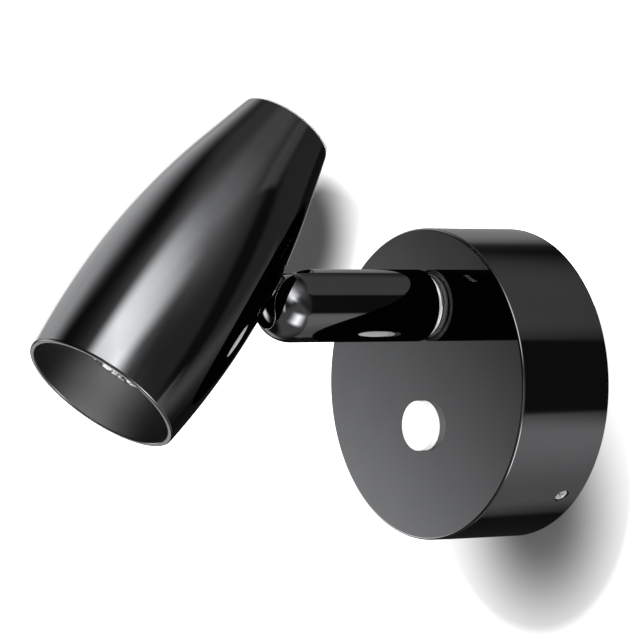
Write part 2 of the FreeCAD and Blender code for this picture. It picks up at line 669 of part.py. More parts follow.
def friction_cup():
    """The plastic cup that the spring presses against the ball."""
    cup = new_body("friction_cup", ON_ARM)
    seat = "arm_bore"
    edge = "sqrt(%s^2 - cup_start^2)" % seat
    root = "sqrt(%s^2 - cup_bore^2)" % seat
    revolve(cup, outline(new_sketch(cup, "XY"),
                         ("arm_bore - 0.1", "-pivot_depth + cup_start"),
                         ("arm_bore - 0.1", "-pivot_depth + cup_end"),
                         ("cup_bore", "-pivot_depth + cup_end"), ("cup_bore", "-pivot_depth + " + root),
                         Bend("0", "-pivot_depth", "right"),
                         (edge, "-pivot_depth + cup_start", "across")))
    return cup


def pressure_spring():
    """The coil spring between the friction cup and the end of the shaft."""
    spring = new_body("pressure_spring", "placement(vector(0; -pivot_depth + cup_end; arm_height); "
                                         "rotation(vector(1; 0; 0); -90))")
    profile = circles(new_sketch(spring, "XZ"), ("spring_radius", "spring_wire + 0.02", "spring_wire"))
    coil = spring.newObject("PartDesign::AdditiveHelix", "pressure_spring_coil")
    coil.Profile = profile
    coil.ReferenceAxis = (profile, ["V_Axis"])
    coil.Mode = "height-turns-angle"
    bind(coil, "Height", "pivot_reach - arm_gap - shaft_grip - cup_end - 2 * spring_wire - 0.04")
    bind(coil, "Turns", "spring_turns")
    finish_feature(spring, coil, True)
    return spring


# ---------------------------------------------------------------- ball and neck

def pivot_ball():
    """The ball in the arm's socket, bored for the neck and flared behind for the wires."""
    ball = new_body("pivot_ball", AT_PIVOT)
    revolve(ball, outline(new_sketch(ball, "XY"),
                          ("neck_spigot + running_clearance", "-sqrt(ball_radius^2 - (neck_spigot + "
                           "running_clearance)^2)"),
                          Bend("0", "0", "left"),
                          ("3.4", "sqrt(ball_radius^2 - 3.4^2)", "up"),
                          ("neck_spigot + running_clearance", "1.5")))
    return ball


def neck_stud():
    """The hollow neck: a spigot in the ball, the bare neck, and a thread through the head's side."""
    stud = new_body("neck_stud", AT_PIVOT)
    shoulder = "-sqrt(ball_radius^2 - (neck_spigot + running_clearance)^2) - 0.05"
    revolve(stud, outline(new_sketch(stud, "XY"),
                          ("neck_bore", "1.2"), ("neck_bore", "-head_offset + nut_flat - 0.8"),
                          ("neck_radius - 0.2", "-head_offset + nut_flat - 0.8"),
                          ("neck_radius - 0.2", "-neck_seat"), ("neck_radius", "-neck_seat"),
                          ("neck_radius", shoulder), ("neck_spigot", shoulder),
                          ("neck_spigot", "1.2")))
    return stud


def neck_collar():
    """The thin washer between the neck's shoulder and the flat on the head."""
    collar = new_body("neck_collar", AT_PIVOT)
    pad(collar, circles(new_sketch(collar, "XZ", "neck_seat - collar_thickness"),
                        ("0", "0", "collar_radius"), ("0", "0", "neck_radius + thread_clearance")),
        "collar_thickness")
    return collar


def saddle_washer():
    """A washer that is round on one side, to fit the bore of the head, and flat under the nut."""
    washer = new_body("saddle_washer", ON_HEAD)
    disc = new_sketch(washer, "XZ", "-saddle_flat")
    circles(disc, ("0", "neck_station", "collar_radius + 0.6"), ("0", "neck_station", "neck_radius - 0.1"))
    pad(washer, disc, "sink_bore - saddle_flat + 0.5", backwards=True)
    trim = circles(new_sketch(washer, "XY", "neck_station"), ("0", "0", "sink_bore - 0.02"), ("0", "0", "20"))
    pocket(washer, trim, "20", both_ways=True)
    return washer


def neck_nut():
    nut = new_body("neck_nut", ON_HEAD)
    sides = new_sketch(nut, "XZ", "-saddle_flat")
    hexagon(sides, "neck_nut_flats", ("0", "neck_station"))
    circles(sides, ("0", "neck_station", "neck_radius - 0.2 + thread_clearance"))
    pad(nut, sides, "neck_nut_thickness")
    return nut


# ---------------------------------------------------------------- lamp head

def head_shell():
    """The barrel-shaped shell, turned from bar, with stepped bores and a flat for the neck."""
    shell = new_body("head_shell", ON_HEAD)
    revolve(shell, outline(new_sketch(shell, "XZ"),
                           ("mouth_bore", "0"), ("mouth_radius", "0"),
                           Bend("belly_radius - front_arc", "belly_station", "left"),
                           ("belly_radius", "belly_station", "across"),
                           Bend("belly_radius - rear_arc", "belly_station", "left"),
                           ("belly_radius - rear_arc + sqrt(rear_arc^2 - waist_run^2)", "waist_station", "across"),
                           ("tail_radius", "head_length - shell_lip"),
                           ("tail_radius - shell_lip", "head_length"),
                           ("tail_bore", "head_length"), ("tail_bore", "tail_shoulder"),
                           ("sink_bore", "tail_shoulder - 2"), ("sink_bore", "sink_shoulder"),
                           ("mouth_bore", "sink_shoulder")))
    seat = new_sketch(shell, "XZ", "-(head_offset - neck_seat)")
    pocket(shell, circles(seat, ("0", "neck_station", "collar_radius + 0.15")), "3")
    hole = new_sketch(shell, "XZ", "-(head_offset - neck_seat)")
    pocket(shell, circles(hole, ("0", "neck_station", "neck_radius - 0.1")), "5", backwards=True)
    round_edges(shell, "mouth_round", lambda edge: is_ring(edge, worth("mouth_radius")))
    return shell


def lens_bezel():
    """The black ring, sloped inside, that screws in over the lens."""
    bezel = new_body("lens_bezel", ON_HEAD)
    revolve(bezel, outline(new_sketch(bezel, "XZ"),
                           ("mouth_bore - thread_clearance", "bezel_depth"),
                           ("mouth_bore - thread_clearance", "lens_front"),
                           ("bezel_opening", "lens_front"),
                           ("bezel_opening + 0.6 * bezel_width", "bezel_depth")))
    return bezel


def collimator_lens():
    """The lens: a flat flange and a cone that gathers the light of the lamp in its hollow end."""
    lens = new_body("collimator_lens", ON_HEAD)
    root = "lamp_board_front - 1"
    revolve(lens, outline(new_sketch(lens, "XZ"),
                          ("0", "lens_front"), ("mouth_bore - 0.3", "lens_front"),
                          ("mouth_bore - 0.3", "lens_waist"), ("bezel_opening - 0.9", "lens_waist"),
                          ("lens_root", root), ("lens_root - 1.6", root), ("lens_root - 2.2", root + " - 3"),
                          ("0", root + " - 3.6")))
    return lens


def lens_holder():
    """The black cup round the lens, which stands on the lamp board."""
    holder = new_body("lens_holder", ON_HEAD)
    revolve(holder, outline(new_sketch(holder, "XZ"),
                            ("mouth_bore - 0.3", "lens_waist"), ("mouth_bore - 0.3", "lamp_board_front"),
                            ("lens_root + 0.6", "lamp_board_front"),
                            ("lens_root + 0.6", "lamp_board_front - 1"),
                            ("bezel_opening - 0.3", "lens_waist")))
    return holder


LAMP_SCREWS = [("-9.5", "0"), ("9.5", "0")]


def led_board():
    """The round metal-cored board of the lamp, on the shoulder of the shell."""
    board = new_body("led_board", ON_HEAD)
    sketch = circles(new_sketch(board, "XY", "lamp_board_front"), ("0", "0", "mouth_bore - 0.15"),
                     ("0", "6", "wire_radius * 2 + wire_half_gap"))
    circles(sketch, *[(across, up, "1.05") for across, up in LAMP_SCREWS])
    pad(board, sketch, "lamp_board_thickness")
    return board


def led_emitter():
    """The lamp itself: a square carrier and the clear dome over the chip."""
    lamp = new_body("led_emitter", ON_HEAD)
    pad(lamp, box_outline(new_sketch(lamp, "XY", "lamp_board_front"), "-1.75", "1.75", "-1.75", "1.75"),
        "0.8", backwards=True)
    foot = "lamp_board_front - 0.8"
    revolve(lamp, outline(new_sketch(lamp, "XZ"),
                          ("0", foot + " - 1.3"), Bend("0", foot, "left"), ("1.3", foot, "across"),
                          ("1.3", foot + " + 0.3"), ("0", foot + " + 0.3")))
    return lamp


def heat_sink():
    """The aluminium slug behind the lamp board, with saw cuts from behind that leave fins."""
    sink = new_body("heat_sink", ON_HEAD)
    sketch = circles(new_sketch(sink, "XY", "sink_shoulder"), ("0", "0", "sink_bore - 0.05"),
                     ("0", "6", "wire_radius * 2 + wire_half_gap"))
    circles(sketch, *[(across, up, "0.85") for across, up in LAMP_SCREWS])
    pad(sink, sketch, "sink_length")
    cuts = new_sketch(sink, "XY", "sink_shoulder + sink_length")
    for across in ("-6", "-3", "0", "3", "6"):
        box_outline(cuts, across + " - 0.7", across + " + 0.7", "-sink_bore - 1", "2.5")
    pocket(sink, cuts, "sink_length - 4")
    return sink


def led_screws():
    """Two screws that hold the lamp board to the heat sink."""
    screws = new_body("led_screws", ON_HEAD)
    pad(screws, circles(new_sketch(screws, "XY", "lamp_board_front + 0.6"), *[
        (across, up, "0.8") for across, up in LAMP_SCREWS]), "6")
    return screws


def night_light_board():
    """The small round board behind the diffuser cap."""
    board = new_body("night_light_board", ON_HEAD)
    pad(board, circles(new_sketch(board, "XY", "head_length - cap_plug - 1"), ("0", "0", "tail_bore - 0.1"),
                       ("0", "-4.5", "1.4")), "1")
    return board


def night_light_leds():
    """Three small lamps in a ring on the board behind the diffuser cap."""
    lamps = new_body("night_light_leds", ON_HEAD)
    first = pad(lamps, box_outline(new_sketch(lamps, "XY", "head_length - cap_plug"), "-1", "1", "2.6", "4.2"),
                "0.7")
    ring_pattern(lamps, [first], "Z", 3)
    return lamps


def rear_diffuser():
    """The milky cap in the back of the head: a rim over the shell's edge, a chamfer and a hollow plug."""
    cap = new_body("rear_diffuser", ON_HEAD)
    foot = "head_length - cap_plug"
    revolve(cap, outline(new_sketch(cap, "XZ"),
                         ("tail_bore - 0.05 - cap_wall", foot), ("tail_bore - 0.05", foot),
                         ("tail_bore - 0.05", "head_length"), ("cap_radius", "head_length"),
                         ("cap_radius", "head_length + cap_proud - 0.3"),
                         ("cap_radius - 0.3", "head_length + cap_proud"), ("0", "head_length + cap_proud"),
                         ("0", "head_length + cap_proud - cap_wall"),
                         ("tail_bore - 0.05 - cap_wall", "head_length + cap_proud - cap_wall")))
    return cap


def flat_pieces():
    """Plain washers."""
    sheet_washer("glide_washer", ON_ARM, "shaft_radius + running_clearance", "glide_radius", "face_inside",
                 "stop_front + 0.02")


def inner_wires():
    """The lamp's two wires, in the stretches between the joints that they cross."""
    wire_pair("base_leads", ON_WALL, [
        ("-shaft_back + 0.4", "arm_height", "0"), ("-board_back + 3.2", "arm_height", "1.6"),
        ("-board_back + 3.2", "1.2", "1.6"), ("-board_back", "1.2", "0")])
    wire_pair("arm_leads", ON_ARM, [
        ("-shaft_back", "0", "0"), ("-pivot_depth + ball_radius + 0.5", "0", "0")])
    wire_pair("head_leads", ON_HEAD, [
        ("head_offset - 1", "neck_station", "0"), ("6", "neck_station", "1.6"), ("6", "sink_shoulder", "0")])


for make in (base_cover, wall_plate, cable_grommet, cover_set_screws, driver_board, board_screws,
             terminal_block, switch_housing, stop_pin, button_cap, switch_plunger, arm_tube, swivel_shaft,
             flat_pieces, stop_washer, wave_washer, shaft_nut, friction_cup, pressure_spring, pivot_ball,
             neck_stud, neck_collar, saddle_washer, neck_nut, head_shell, lens_bezel, collimator_lens,
             lens_holder, led_board, led_emitter, heat_sink, led_screws, night_light_board,
             night_light_leds, rear_diffuser, inner_wires):
    make()
board_block("driver_chip", "1", "-5", "5", "4", "1.5")
board_can("choke", "10", "-5", "3.8", "4.6", "3.1")
board_can("capacitor", "9", "-15", "3.1", "5.6", "2.9")

# ---------------------------------------------------------------- checks and files

doc.recompute()
for thing in doc.Objects:
    if {"Invalid", "Error"} & set(thing.State):
        raise RuntimeError("%s is %s" % (thing.Label, thing.State))
for part in sub_parts:
    if part.Shape.isNull() or not part.Shape.isValid() or not part.Shape.Solids:
        raise RuntimeError("%s has no sound solid" % part.Label)
os.makedirs("parts", exist_ok=True)
for part in sub_parts:
    part.Shape.exportStep("parts/%s.step" % part.Label)
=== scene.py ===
import json
import math

import bmesh
import bpy
from mathutils import Matrix, Vector
from mathutils.bvhtree import BVHTree
from mathutils.interpolate import poly_3d_calc

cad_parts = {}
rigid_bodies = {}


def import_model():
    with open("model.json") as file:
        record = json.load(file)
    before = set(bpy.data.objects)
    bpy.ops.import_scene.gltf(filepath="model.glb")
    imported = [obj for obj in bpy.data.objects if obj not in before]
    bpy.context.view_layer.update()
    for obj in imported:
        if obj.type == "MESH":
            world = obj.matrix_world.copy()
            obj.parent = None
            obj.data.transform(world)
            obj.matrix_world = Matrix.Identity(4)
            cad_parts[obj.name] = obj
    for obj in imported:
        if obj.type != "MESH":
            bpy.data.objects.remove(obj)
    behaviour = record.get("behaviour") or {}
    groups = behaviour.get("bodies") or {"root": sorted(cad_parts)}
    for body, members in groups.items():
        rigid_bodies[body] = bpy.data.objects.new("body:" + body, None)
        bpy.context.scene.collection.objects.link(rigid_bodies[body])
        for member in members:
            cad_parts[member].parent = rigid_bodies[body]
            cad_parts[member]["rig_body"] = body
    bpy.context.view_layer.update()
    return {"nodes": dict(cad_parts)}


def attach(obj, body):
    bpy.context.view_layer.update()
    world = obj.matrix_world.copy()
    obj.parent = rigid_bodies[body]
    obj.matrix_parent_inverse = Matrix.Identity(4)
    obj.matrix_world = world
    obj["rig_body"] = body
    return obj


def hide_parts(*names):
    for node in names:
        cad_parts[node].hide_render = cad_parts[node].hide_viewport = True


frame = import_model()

# Sizes of the wall light in millimetres, as the frame has them. The middle of the base's back is the
# origin, the room is towards -Y and up is +Z.
MM = 0.001
BASE_RADIUS, BASE_DEPTH, COVER_BORE, FACE_INSIDE, EDGE_ROUND = 30.0, 21.0, 27.5, 18.5, 0.45
ARM_HEIGHT, ARM_RADIUS, ARM_BORE, ARM_START, PIVOT_DEPTH = 15.1, 6.9, 5.9, 22.4, 52.8
SLOT_RADIUS, SLOT_LOW, SLOT_HIGH, REST_TILT = 3.32, 10.0, 102.0, 40.3
BALL_RADIUS, NECK_RADIUS, NECK_SPIGOT, NECK_SEAT = 5.85, 3.0, 2.4, 7.656
HEAD_OFFSET, NECK_STATION = 22.3, 39.6
COLLAR_RADIUS, SHAFT_RADIUS, SHAFT_BORE, SHAFT_BACK, SHAFT_GRIP = 6.1, 5.0, 3.2, 13.0, 9.5
HEAD_LENGTH, MOUTH_RADIUS, BELLY_RADIUS, BELLY_STATION = 63.8, 15.28, 16.47, 19.4
WAIST_STATION, TAIL_RADIUS, MOUTH_BORE, SINK_BORE, TAIL_BORE = 53.0, 9.35, 14.25, 12.4, 8.1
SINK_SHOULDER, TAIL_SHOULDER, BEZEL_DEPTH, LENS_FRONT, BEZEL_OPENING = 21.0, 49.0, 9.7, 10.5, 13.45
SHELL_LIP, CAP_RADIUS, CAP_PROUD = 0.4, 8.95, 1.15
CAP_END = HEAD_LENGTH + CAP_PROUD
BUTTON_RADIUS, BUTTON_DROP, BUTTON_PROUD, BUTTON_DISH, BUTTON_FLANGE = 4.8, 8.0, 1.7, 0.35, 6.4
SET_SCREW_RADIUS, SET_SCREW_HEIGHT, SET_SCREW_ANGLE, SET_SCREW_INSET = 1.5, 4.2, 45.0, 0.35
FIT = 0.05  # between pieces that fit into each other

# Where the pieces stand: on the base and the arm their +Z is turned into the room, and the others lean
# with the head. A piece that is cut or coated first is made as turned, and stood in its place after that.
ON_BASE = Matrix.Rotation(math.radians(90), 4, "X")
ON_ARM = Matrix.Translation((0, 0, ARM_HEIGHT * MM)) @ ON_BASE
AT_PIVOT = (Matrix.Translation((0, -PIVOT_DEPTH * MM, ARM_HEIGHT * MM))
            @ Matrix.Rotation(math.radians(-REST_TILT), 4, "X"))
ON_HEAD = AT_PIVOT @ Matrix.Translation((0, -HEAD_OFFSET * MM, -NECK_STATION * MM))
ON_NECK = AT_PIVOT @ ON_BASE
AS_TURNED = Matrix.Identity(4)

# Directions that finishes follow: the axes of the turned pieces, and the way that the sheen painted into
# the bore's colour faces, to the front and the right but square to the head's axis.
ROOM_WAY, HEAD_WAY = (0.0, 1.0, 0.0), tuple(ON_HEAD.to_3x3().col[2])
FRONT_RIGHT = Vector((0.801, -0.598, 0.009))
PAINTED_SHEEN_WAY = tuple((FRONT_RIGHT - Vector(HEAD_WAY) * FRONT_RIGHT.dot(Vector(HEAD_WAY))).normalized())


def heading(azimuth, elevation):
    """A direction from the light: 0 is straight into the room, + is to its +X side, and up."""
    side, up = math.radians(azimuth), math.radians(elevation)
    return Vector((math.sin(side) * math.cos(up), -math.cos(side) * math.cos(up), math.sin(up)))


# -------------------- node trees

def feed(made, inputs):
    """Sets inputs of a node, each by its name or its number, to a value or from a socket."""
    for key, value in inputs.items():
        socket = made.inputs[key]
        if isinstance(value, bpy.types.NodeSocket):
            made.id_data.links.new(value, socket)
        else:
            socket.default_value = value
    return made


def node(tree, kind, inputs=None, **settings):
    """A new node with its settings and its inputs."""
    made = tree.nodes.new(kind)
    for name, value in settings.items():
        setattr(made, name, value)
    return feed(made, inputs or {})


def maths(tree, operation, *values, kind="ShaderNodeMath"):
    """The result of one step of arithmetic."""
    made = node(tree, kind, dict(enumerate(values)), operation=operation)
    return made.outputs["Value"] if operation in ("DOT_PRODUCT", "LENGTH", "DISTANCE") else made.outputs[0]


def vector_maths(tree, operation, *values):
    return maths(tree, operation, *values, kind="ShaderNodeVectorMath")


def own_place(tree):
    """Where a point lies on its piece."""
    return node(tree, "ShaderNodeTexCoord").outputs["Object"]


def noise(tree, place, scale, detail, **more):
    inputs = {"Vector": place, "Scale": scale, "Detail": detail, **more}
    return node(tree, "ShaderNodeTexNoise", inputs).outputs[0]


def remap(tree, value, start=0.0, stop=1.0, first=0.0, last=1.0, **settings):
    """Spreads a value: first where it is at the start, last where it is at the stop."""
    ends = {"Value": value, "From Min": start, "From Max": stop, "To Min": first, "To Max": last}
    return node(tree, "ShaderNodeMapRange", ends, **settings).outputs[0]


def blend(tree, mask, colour, marked):
    """A colour that turns into another where the mask is 1."""
    return node(tree, "ShaderNodeMix", {"Factor": mask, 6: (*colour, 1), 7: (*marked, 1)},
                data_type="RGBA").outputs[2]


def new_group(name, kind, inputs, outputs):
    """A node group, the sockets that it is given and the node that takes its results. Inputs are
    {name: default} and outputs {name: kind}. An input without a default has its kind too."""
    group = bpy.data.node_groups.new(name, kind)
    for way, sockets in (("INPUT", inputs), ("OUTPUT", outputs)):
        for label, value in sockets.items():
            family = value if isinstance(value, str) else (
                {float: "Float", int: "Int"}.get(type(value)) or {3: "Vector", 4: "Color"}[len(value)])
            socket = group.interface.new_socket(label, in_out=way, socket_type="NodeSocket" + family)
            if family != value:
                socket.default_value = value
    return group, group.nodes.new("NodeGroupInput").outputs, group.nodes.new("NodeGroupOutput")


# -------------------- effects that finishes share

def smudge_group():
    """Faint finger marks and wiped streaks: how much duller a polished surface is here."""
    group, given, result = new_group("smudges", "ShaderNodeTree",
                                     {"Size": 60.0, "Clean": 0.06, "Marked": 0.12},
                                     {"Roughness": "Float", "Mask": "Float"})
    place = own_place(group)
    stretched = node(group, "ShaderNodeMapping", {"Vector": place, "Scale": (1.0, 0.12, 1.0)}).outputs[0]
    blotches = remap(group, noise(group, place, given["Size"], 5.0, Roughness=0.6, Distortion=0.4), 0.45, 0.8)
    streaks = remap(group, noise(group, stretched, 900.0, 3.0), 0.5, 0.9)
    mask = maths(group, "MULTIPLY_ADD", streaks, 0.35, blotches)
    dull = node(group, "ShaderNodeMix", {"Factor": mask, 2: given["Clean"], 3: given["Marked"]},
                data_type="FLOAT")
    feed(result, {"Roughness": dull.outputs[0], "Mask": maths(group, "MINIMUM", mask, 1.0)})
    return group


def grain_group():
    """Fine grain: a height for bumps and a small change of colour, as on moulded or cast stuff."""
    group, given, result = new_group("grain", "ShaderNodeTree",
                                     {"Colour": (1, 1, 1, 1), "Size": 2500.0, "Change": 0.06},
                                     {"Colour": "Color", "Height": "Float"})
    place = own_place(group)
    pits, cloud = noise(group, place, given["Size"], 2.0), noise(group, place, 140.0, 4.0)
    mixed = maths(group, "MULTIPLY_ADD", pits, 0.5, maths(group, "MULTIPLY", cloud, 0.5))
    shade = remap(group, mixed, 0.35, 0.65, maths(group, "SUBTRACT", 1.0, given["Change"]))
    feed(result, {"Colour": vector_maths(group, "MULTIPLY", given["Colour"], shade), "Height": pits})
    return group


def lathe_lines_group():
    """The fine rings a tool leaves on a turned surface, across the axis that the caller gives."""
    group, given, result = new_group("tool_lines", "ShaderNodeTree", {"Along": (0, 0, 1), "Pitch": 9000.0},
                                     {"Height": "Float"})
    place = own_place(group)
    run = vector_maths(group, "DOT_PRODUCT", place, given["Along"])
    uneven = maths(group, "MULTIPLY_ADD", noise(group, place, 400.0, 2.0), 0.1 * MM, run)
    lines = node(group, "ShaderNodeTexNoise", {"W": uneven, "Scale": given["Pitch"], "Detail": 2.0},
                 noise_dimensions="1D")
    feed(result, {"Height": lines.outputs[0]})
    return group


SMUDGES, GRAIN, TOOL_LINES = smudge_group(), grain_group(), lathe_lines_group()


def shader_of(finish):
    return finish.node_tree.nodes["Principled BSDF"]


def new_finish(name):
    finish = bpy.data.materials.new(name)
    finish.use_nodes = True
    return finish, finish.node_tree, shader_of(finish)


def bump(tree, shader, height, strength, depth):
    """Relief, with its depth in millimetres."""
    made = node(tree, "ShaderNodeBump", {"Height": height, "Strength": strength, "Distance": depth * MM})
    feed(shader, {"Normal": made.outputs[0]})


def smudge(tree, shader, clean, marked, size=60.0):
    """Roughness between clean and marked, from the smudges, whose mask it gives."""
    marks = node(tree, "ShaderNodeGroup", {"Size": size, "Clean": clean, "Marked": marked}, node_tree=SMUDGES)
    feed(shader, {"Roughness": marks.outputs["Roughness"]})
    return marks.outputs["Mask"]


def dim(finish, share):
    """Keeps a share of the colour that a finish has."""
    colour = shader_of(finish).inputs["Base Color"].links[0].from_socket
    kept = node(finish.node_tree, "ShaderNodeVectorMath", {0: colour, "Scale": share}, operation="SCALE")
    feed(shader_of(finish), {"Base Color": kept.outputs[0]})


def polished(name, colour, clean, marked, size=60.0, metal=1.0):
    """Plated or polished metal: mirror smooth, with smudges and the faintest ripple under the plating."""
    finish, tree, shader = new_finish(name)
    feed(shader, {"Metallic": metal, "Base Color": (*colour, 1)})
    mask = smudge(tree, shader, clean, marked, size)
    feed(shader, {"Base Color": blend(tree, mask, colour, [part * 0.93 for part in colour])})
    bump(tree, shader, noise(tree, own_place(tree), 90.0, 1.0), 0.02, 0.05)
    return finish


def turned(name, colour, clean, marked, along=ROOM_WAY, lines=0.25, pitch=9000.0, metal=1.0):
    """Metal left as the lathe leaves it, bare or painted thinly: fine rings across its axis."""
    finish, tree, shader = new_finish(name)
    mask = smudge(tree, shader, clean, marked)
    worn = blend(tree, mask, colour, [part * 0.85 for part in colour])
    feed(shader, {"Metallic": metal, "Base Color": worn})
    rings = node(tree, "ShaderNodeGroup", {"Along": along, "Pitch": pitch}, node_tree=TOOL_LINES)
    bump(tree, shader, rings.outputs["Height"], lines, 0.04)
    return finish


def bore_paint_with_painted_sheen():
    """Thin dark satin paint in the turned bore, with a painted sheen: the colour is brighter in one broad
    streak on each side and falls to dark between.
    """
    finish = turned("satin_bore", (0.2, 0.2, 0.2), 0.4, 0.5, HEAD_WAY, 0.12, metal=0.0)
    tree, least, narrowness = finish.node_tree, 0.03, 8.0
    feed(shader_of(finish), {"Specular IOR Level": 0.12})
    outwards = node(tree, "ShaderNodeTexCoord").outputs["Normal"]
    facing = maths(tree, "ABSOLUTE", vector_maths(tree, "DOT_PRODUCT", outwards, PAINTED_SHEEN_WAY))
    # Painted sheen: the colour is brightened where the surface faces one chosen way, and darkened elsewhere.
    painted_sheen = maths(tree, "MULTIPLY", maths(tree, "POWER", facing, narrowness), 1 - least)
    dim(finish, maths(tree, "ADD", painted_sheen, least))
    return finish


def moulded(name, colour, roughness, size=2500.0, change=0.06, relief=0.15, milky=0.0):
    """Plastic or rubber with a fine grain from its mould."""
    finish, tree, shader = new_finish(name)
    grain = node(tree, "ShaderNodeGroup", {"Colour": (*colour, 1), "Size": size, "Change": change},
                 node_tree=GRAIN).outputs
    dull = remap(tree, grain["Height"], first=roughness * 0.85, last=min(1.0, roughness * 1.2))
    feed(shader, {"Base Color": grain["Colour"], "Roughness": dull})
    if milky:
        feed(shader, {"Subsurface Weight": milky, "Subsurface Scale": 1.5 * MM,
                      "Subsurface Radius": (1, 1, 1)})
    bump(tree, shader, grain["Height"], relief, 0.03)
    return finish


def darken_close_reflections(finish, reach=4.0, loss=0.5):
    """Paints a finish darker where metal within a few millimetres mirrors it, as in the tight gap round the
    button: painted shade on its close reflections.
    """
    tree = finish.node_tree
    path = node(tree, "ShaderNodeLightPath").outputs
    near = maths(tree, "MULTIPLY", path["Is Glossy Ray"],
                 maths(tree, "LESS_THAN", path["Ray Length"], reach * MM))
    dim(finish, maths(tree, "SUBTRACT", 1.0, maths(tree, "MULTIPLY", near, loss)))


def pebbled_ring():
    """The rim of the lens as it shows in the mouth: pebbles in relief, and painted glints, white cells in the
    colour with dark between.
    """
    finish, tree, shader = new_finish("pebbled_ring")
    cells = node(tree, "ShaderNodeTexVoronoi", {"Vector": own_place(tree), "Scale": 1100.0})
    pebbles_and_glints = cells.outputs["Distance"]
    # Painted glints: white cells in the colour where the pebbles would catch the light.
    feed(shader, {"Base Color": remap(tree, pebbles_and_glints, 0.42, 0.7, 0.95, 0.05), "Roughness": 0.2})
    bump(tree, shader, pebbles_and_glints, 0.5, 0.2)
    return finish


def clear_plastic(name, clearness):
    """Clear moulded plastic. With less clearness it is partly white, as a pebbled face looks."""
    finish, tree, shader = new_finish(name)
    feed(shader, {"Transmission Weight": clearness, "IOR": 1.49, "Base Color": (0.96, 0.97, 0.97, 1)})
    smudge(tree, shader, 0.03, 0.1)
    return finish


def board_lacquer(name, colour, track):
    """Lacquered circuit board, with the copper tracks showing through as a slightly lighter pattern."""
    finish, tree, shader = new_finish(name)
    cells = node(tree, "ShaderNodeTexVoronoi", {"Vector": own_place(tree), "Scale": 420.0, "Randomness": 0.6},
                 distance="CHEBYCHEV")
    lanes = remap(tree, cells.outputs["Distance"], 0.28, 0.36)
    feed(shader, {"Base Color": blend(tree, lanes, track, colour), "Roughness": 0.35})
    bump(tree, shader, lanes, 0.2, 0.03)
    return finish


BLACK_CHROME = polished("black_chrome", (0.235, 0.238, 0.245), 0.02, 0.05)
SATIN_BORE_WITH_PAINTED_SHEEN = bore_paint_with_painted_sheen()
BRIGHT_NICKEL = turned("bright_nickel", (0.95, 0.95, 0.94), 0.2, 0.42, ROOM_WAY, 1.0, 3000.0, 0.55)
EDGE_STEEL = polished("edge_steel", (0.5, 0.5, 0.5), 0.14, 0.3, 400.0)
SCREW_STEEL = polished("screw_steel", (0.9, 0.9, 0.9), 0.14, 0.3, 400.0, metal=0.6)
WHITE_CAP = moulded("white_cap", (0.86, 0.86, 0.86), 0.22, 1800.0, 0.02, 0.04, 0.25)
# Painted shade: the button's colour is darker in its reflections in the nearby metal.
darken_close_reflections(WHITE_CAP)
MILKY_CAP = moulded("milky_cap", (0.9, 0.9, 0.9), 0.32, 1500.0, 0.02, 0.05, 0.6)
# Painted shade: the cap's plastic, made darker, for the chamfer round its end.
MILKY_EDGE_PAINTED_SHADE = moulded("milky_edge", (0.42, 0.42, 0.42), 0.32, 1500.0, 0.02, 0.05)
PAINTED_GLINT_RING = pebbled_ring()
CLEAR_LENS = clear_plastic("clear_lens", 1.0)
PEBBLED_LENS = clear_plastic("pebbled_lens", 0.35)
FINISHES = {
    "black_chrome": BLACK_CHROME,
    "plated_steel": turned("plated_steel", (0.55, 0.54, 0.52), 0.28, 0.42),
    "bright_nickel": BRIGHT_NICKEL,
    "brass": turned("brass", (0.75, 0.53, 0.22), 0.22, 0.36),
    "spring_steel": polished("spring_steel", (0.42, 0.41, 0.4), 0.22, 0.34, 300.0),
    "black_rubber": moulded("black_rubber", (0.022, 0.022, 0.023), 0.7, 1200.0, 0.2, 0.3),
    "white_plastic": moulded("white_plastic", (0.82, 0.82, 0.81), 0.35, milky=0.15),
    "black_plastic": moulded("black_ring", (0.02, 0.02, 0.021), 0.45),
    "nylon": moulded("nylon", (0.72, 0.7, 0.64), 0.4, milky=0.2),
    "clear_lens": CLEAR_LENS,
    "green_board": board_lacquer("green_board", (0.01, 0.09, 0.035), (0.03, 0.17, 0.07)),
    "white_board": board_lacquer("white_board", (0.78, 0.78, 0.76), (0.7, 0.7, 0.68)),
    "lamp": moulded("lamp", (0.85, 0.7, 0.2), 0.25, milky=0.3),
    "bare_aluminium": turned("bare_aluminium", (0.78, 0.78, 0.79), 0.3, 0.42, HEAD_WAY),
    "red_wire": moulded("red_wire", (0.45, 0.02, 0.015), 0.4),
}


# -------------------- shapes that follow a rule

def end_tree(tree, geometry, given, result):
    """The end of every tree here: smooth shading, real geometry and the finish."""
    smooth = node(tree, "GeometryNodeSetShadeSmooth", {"Geometry": geometry})
    real = node(tree, "GeometryNodeRealizeInstances", {"Geometry": smooth.outputs[0]})
    coated = node(tree, "GeometryNodeSetMaterial", {"Geometry": real.outputs[0], "Material": given["Finish"]})
    feed(result, {0: coated.outputs[0]})
    return tree


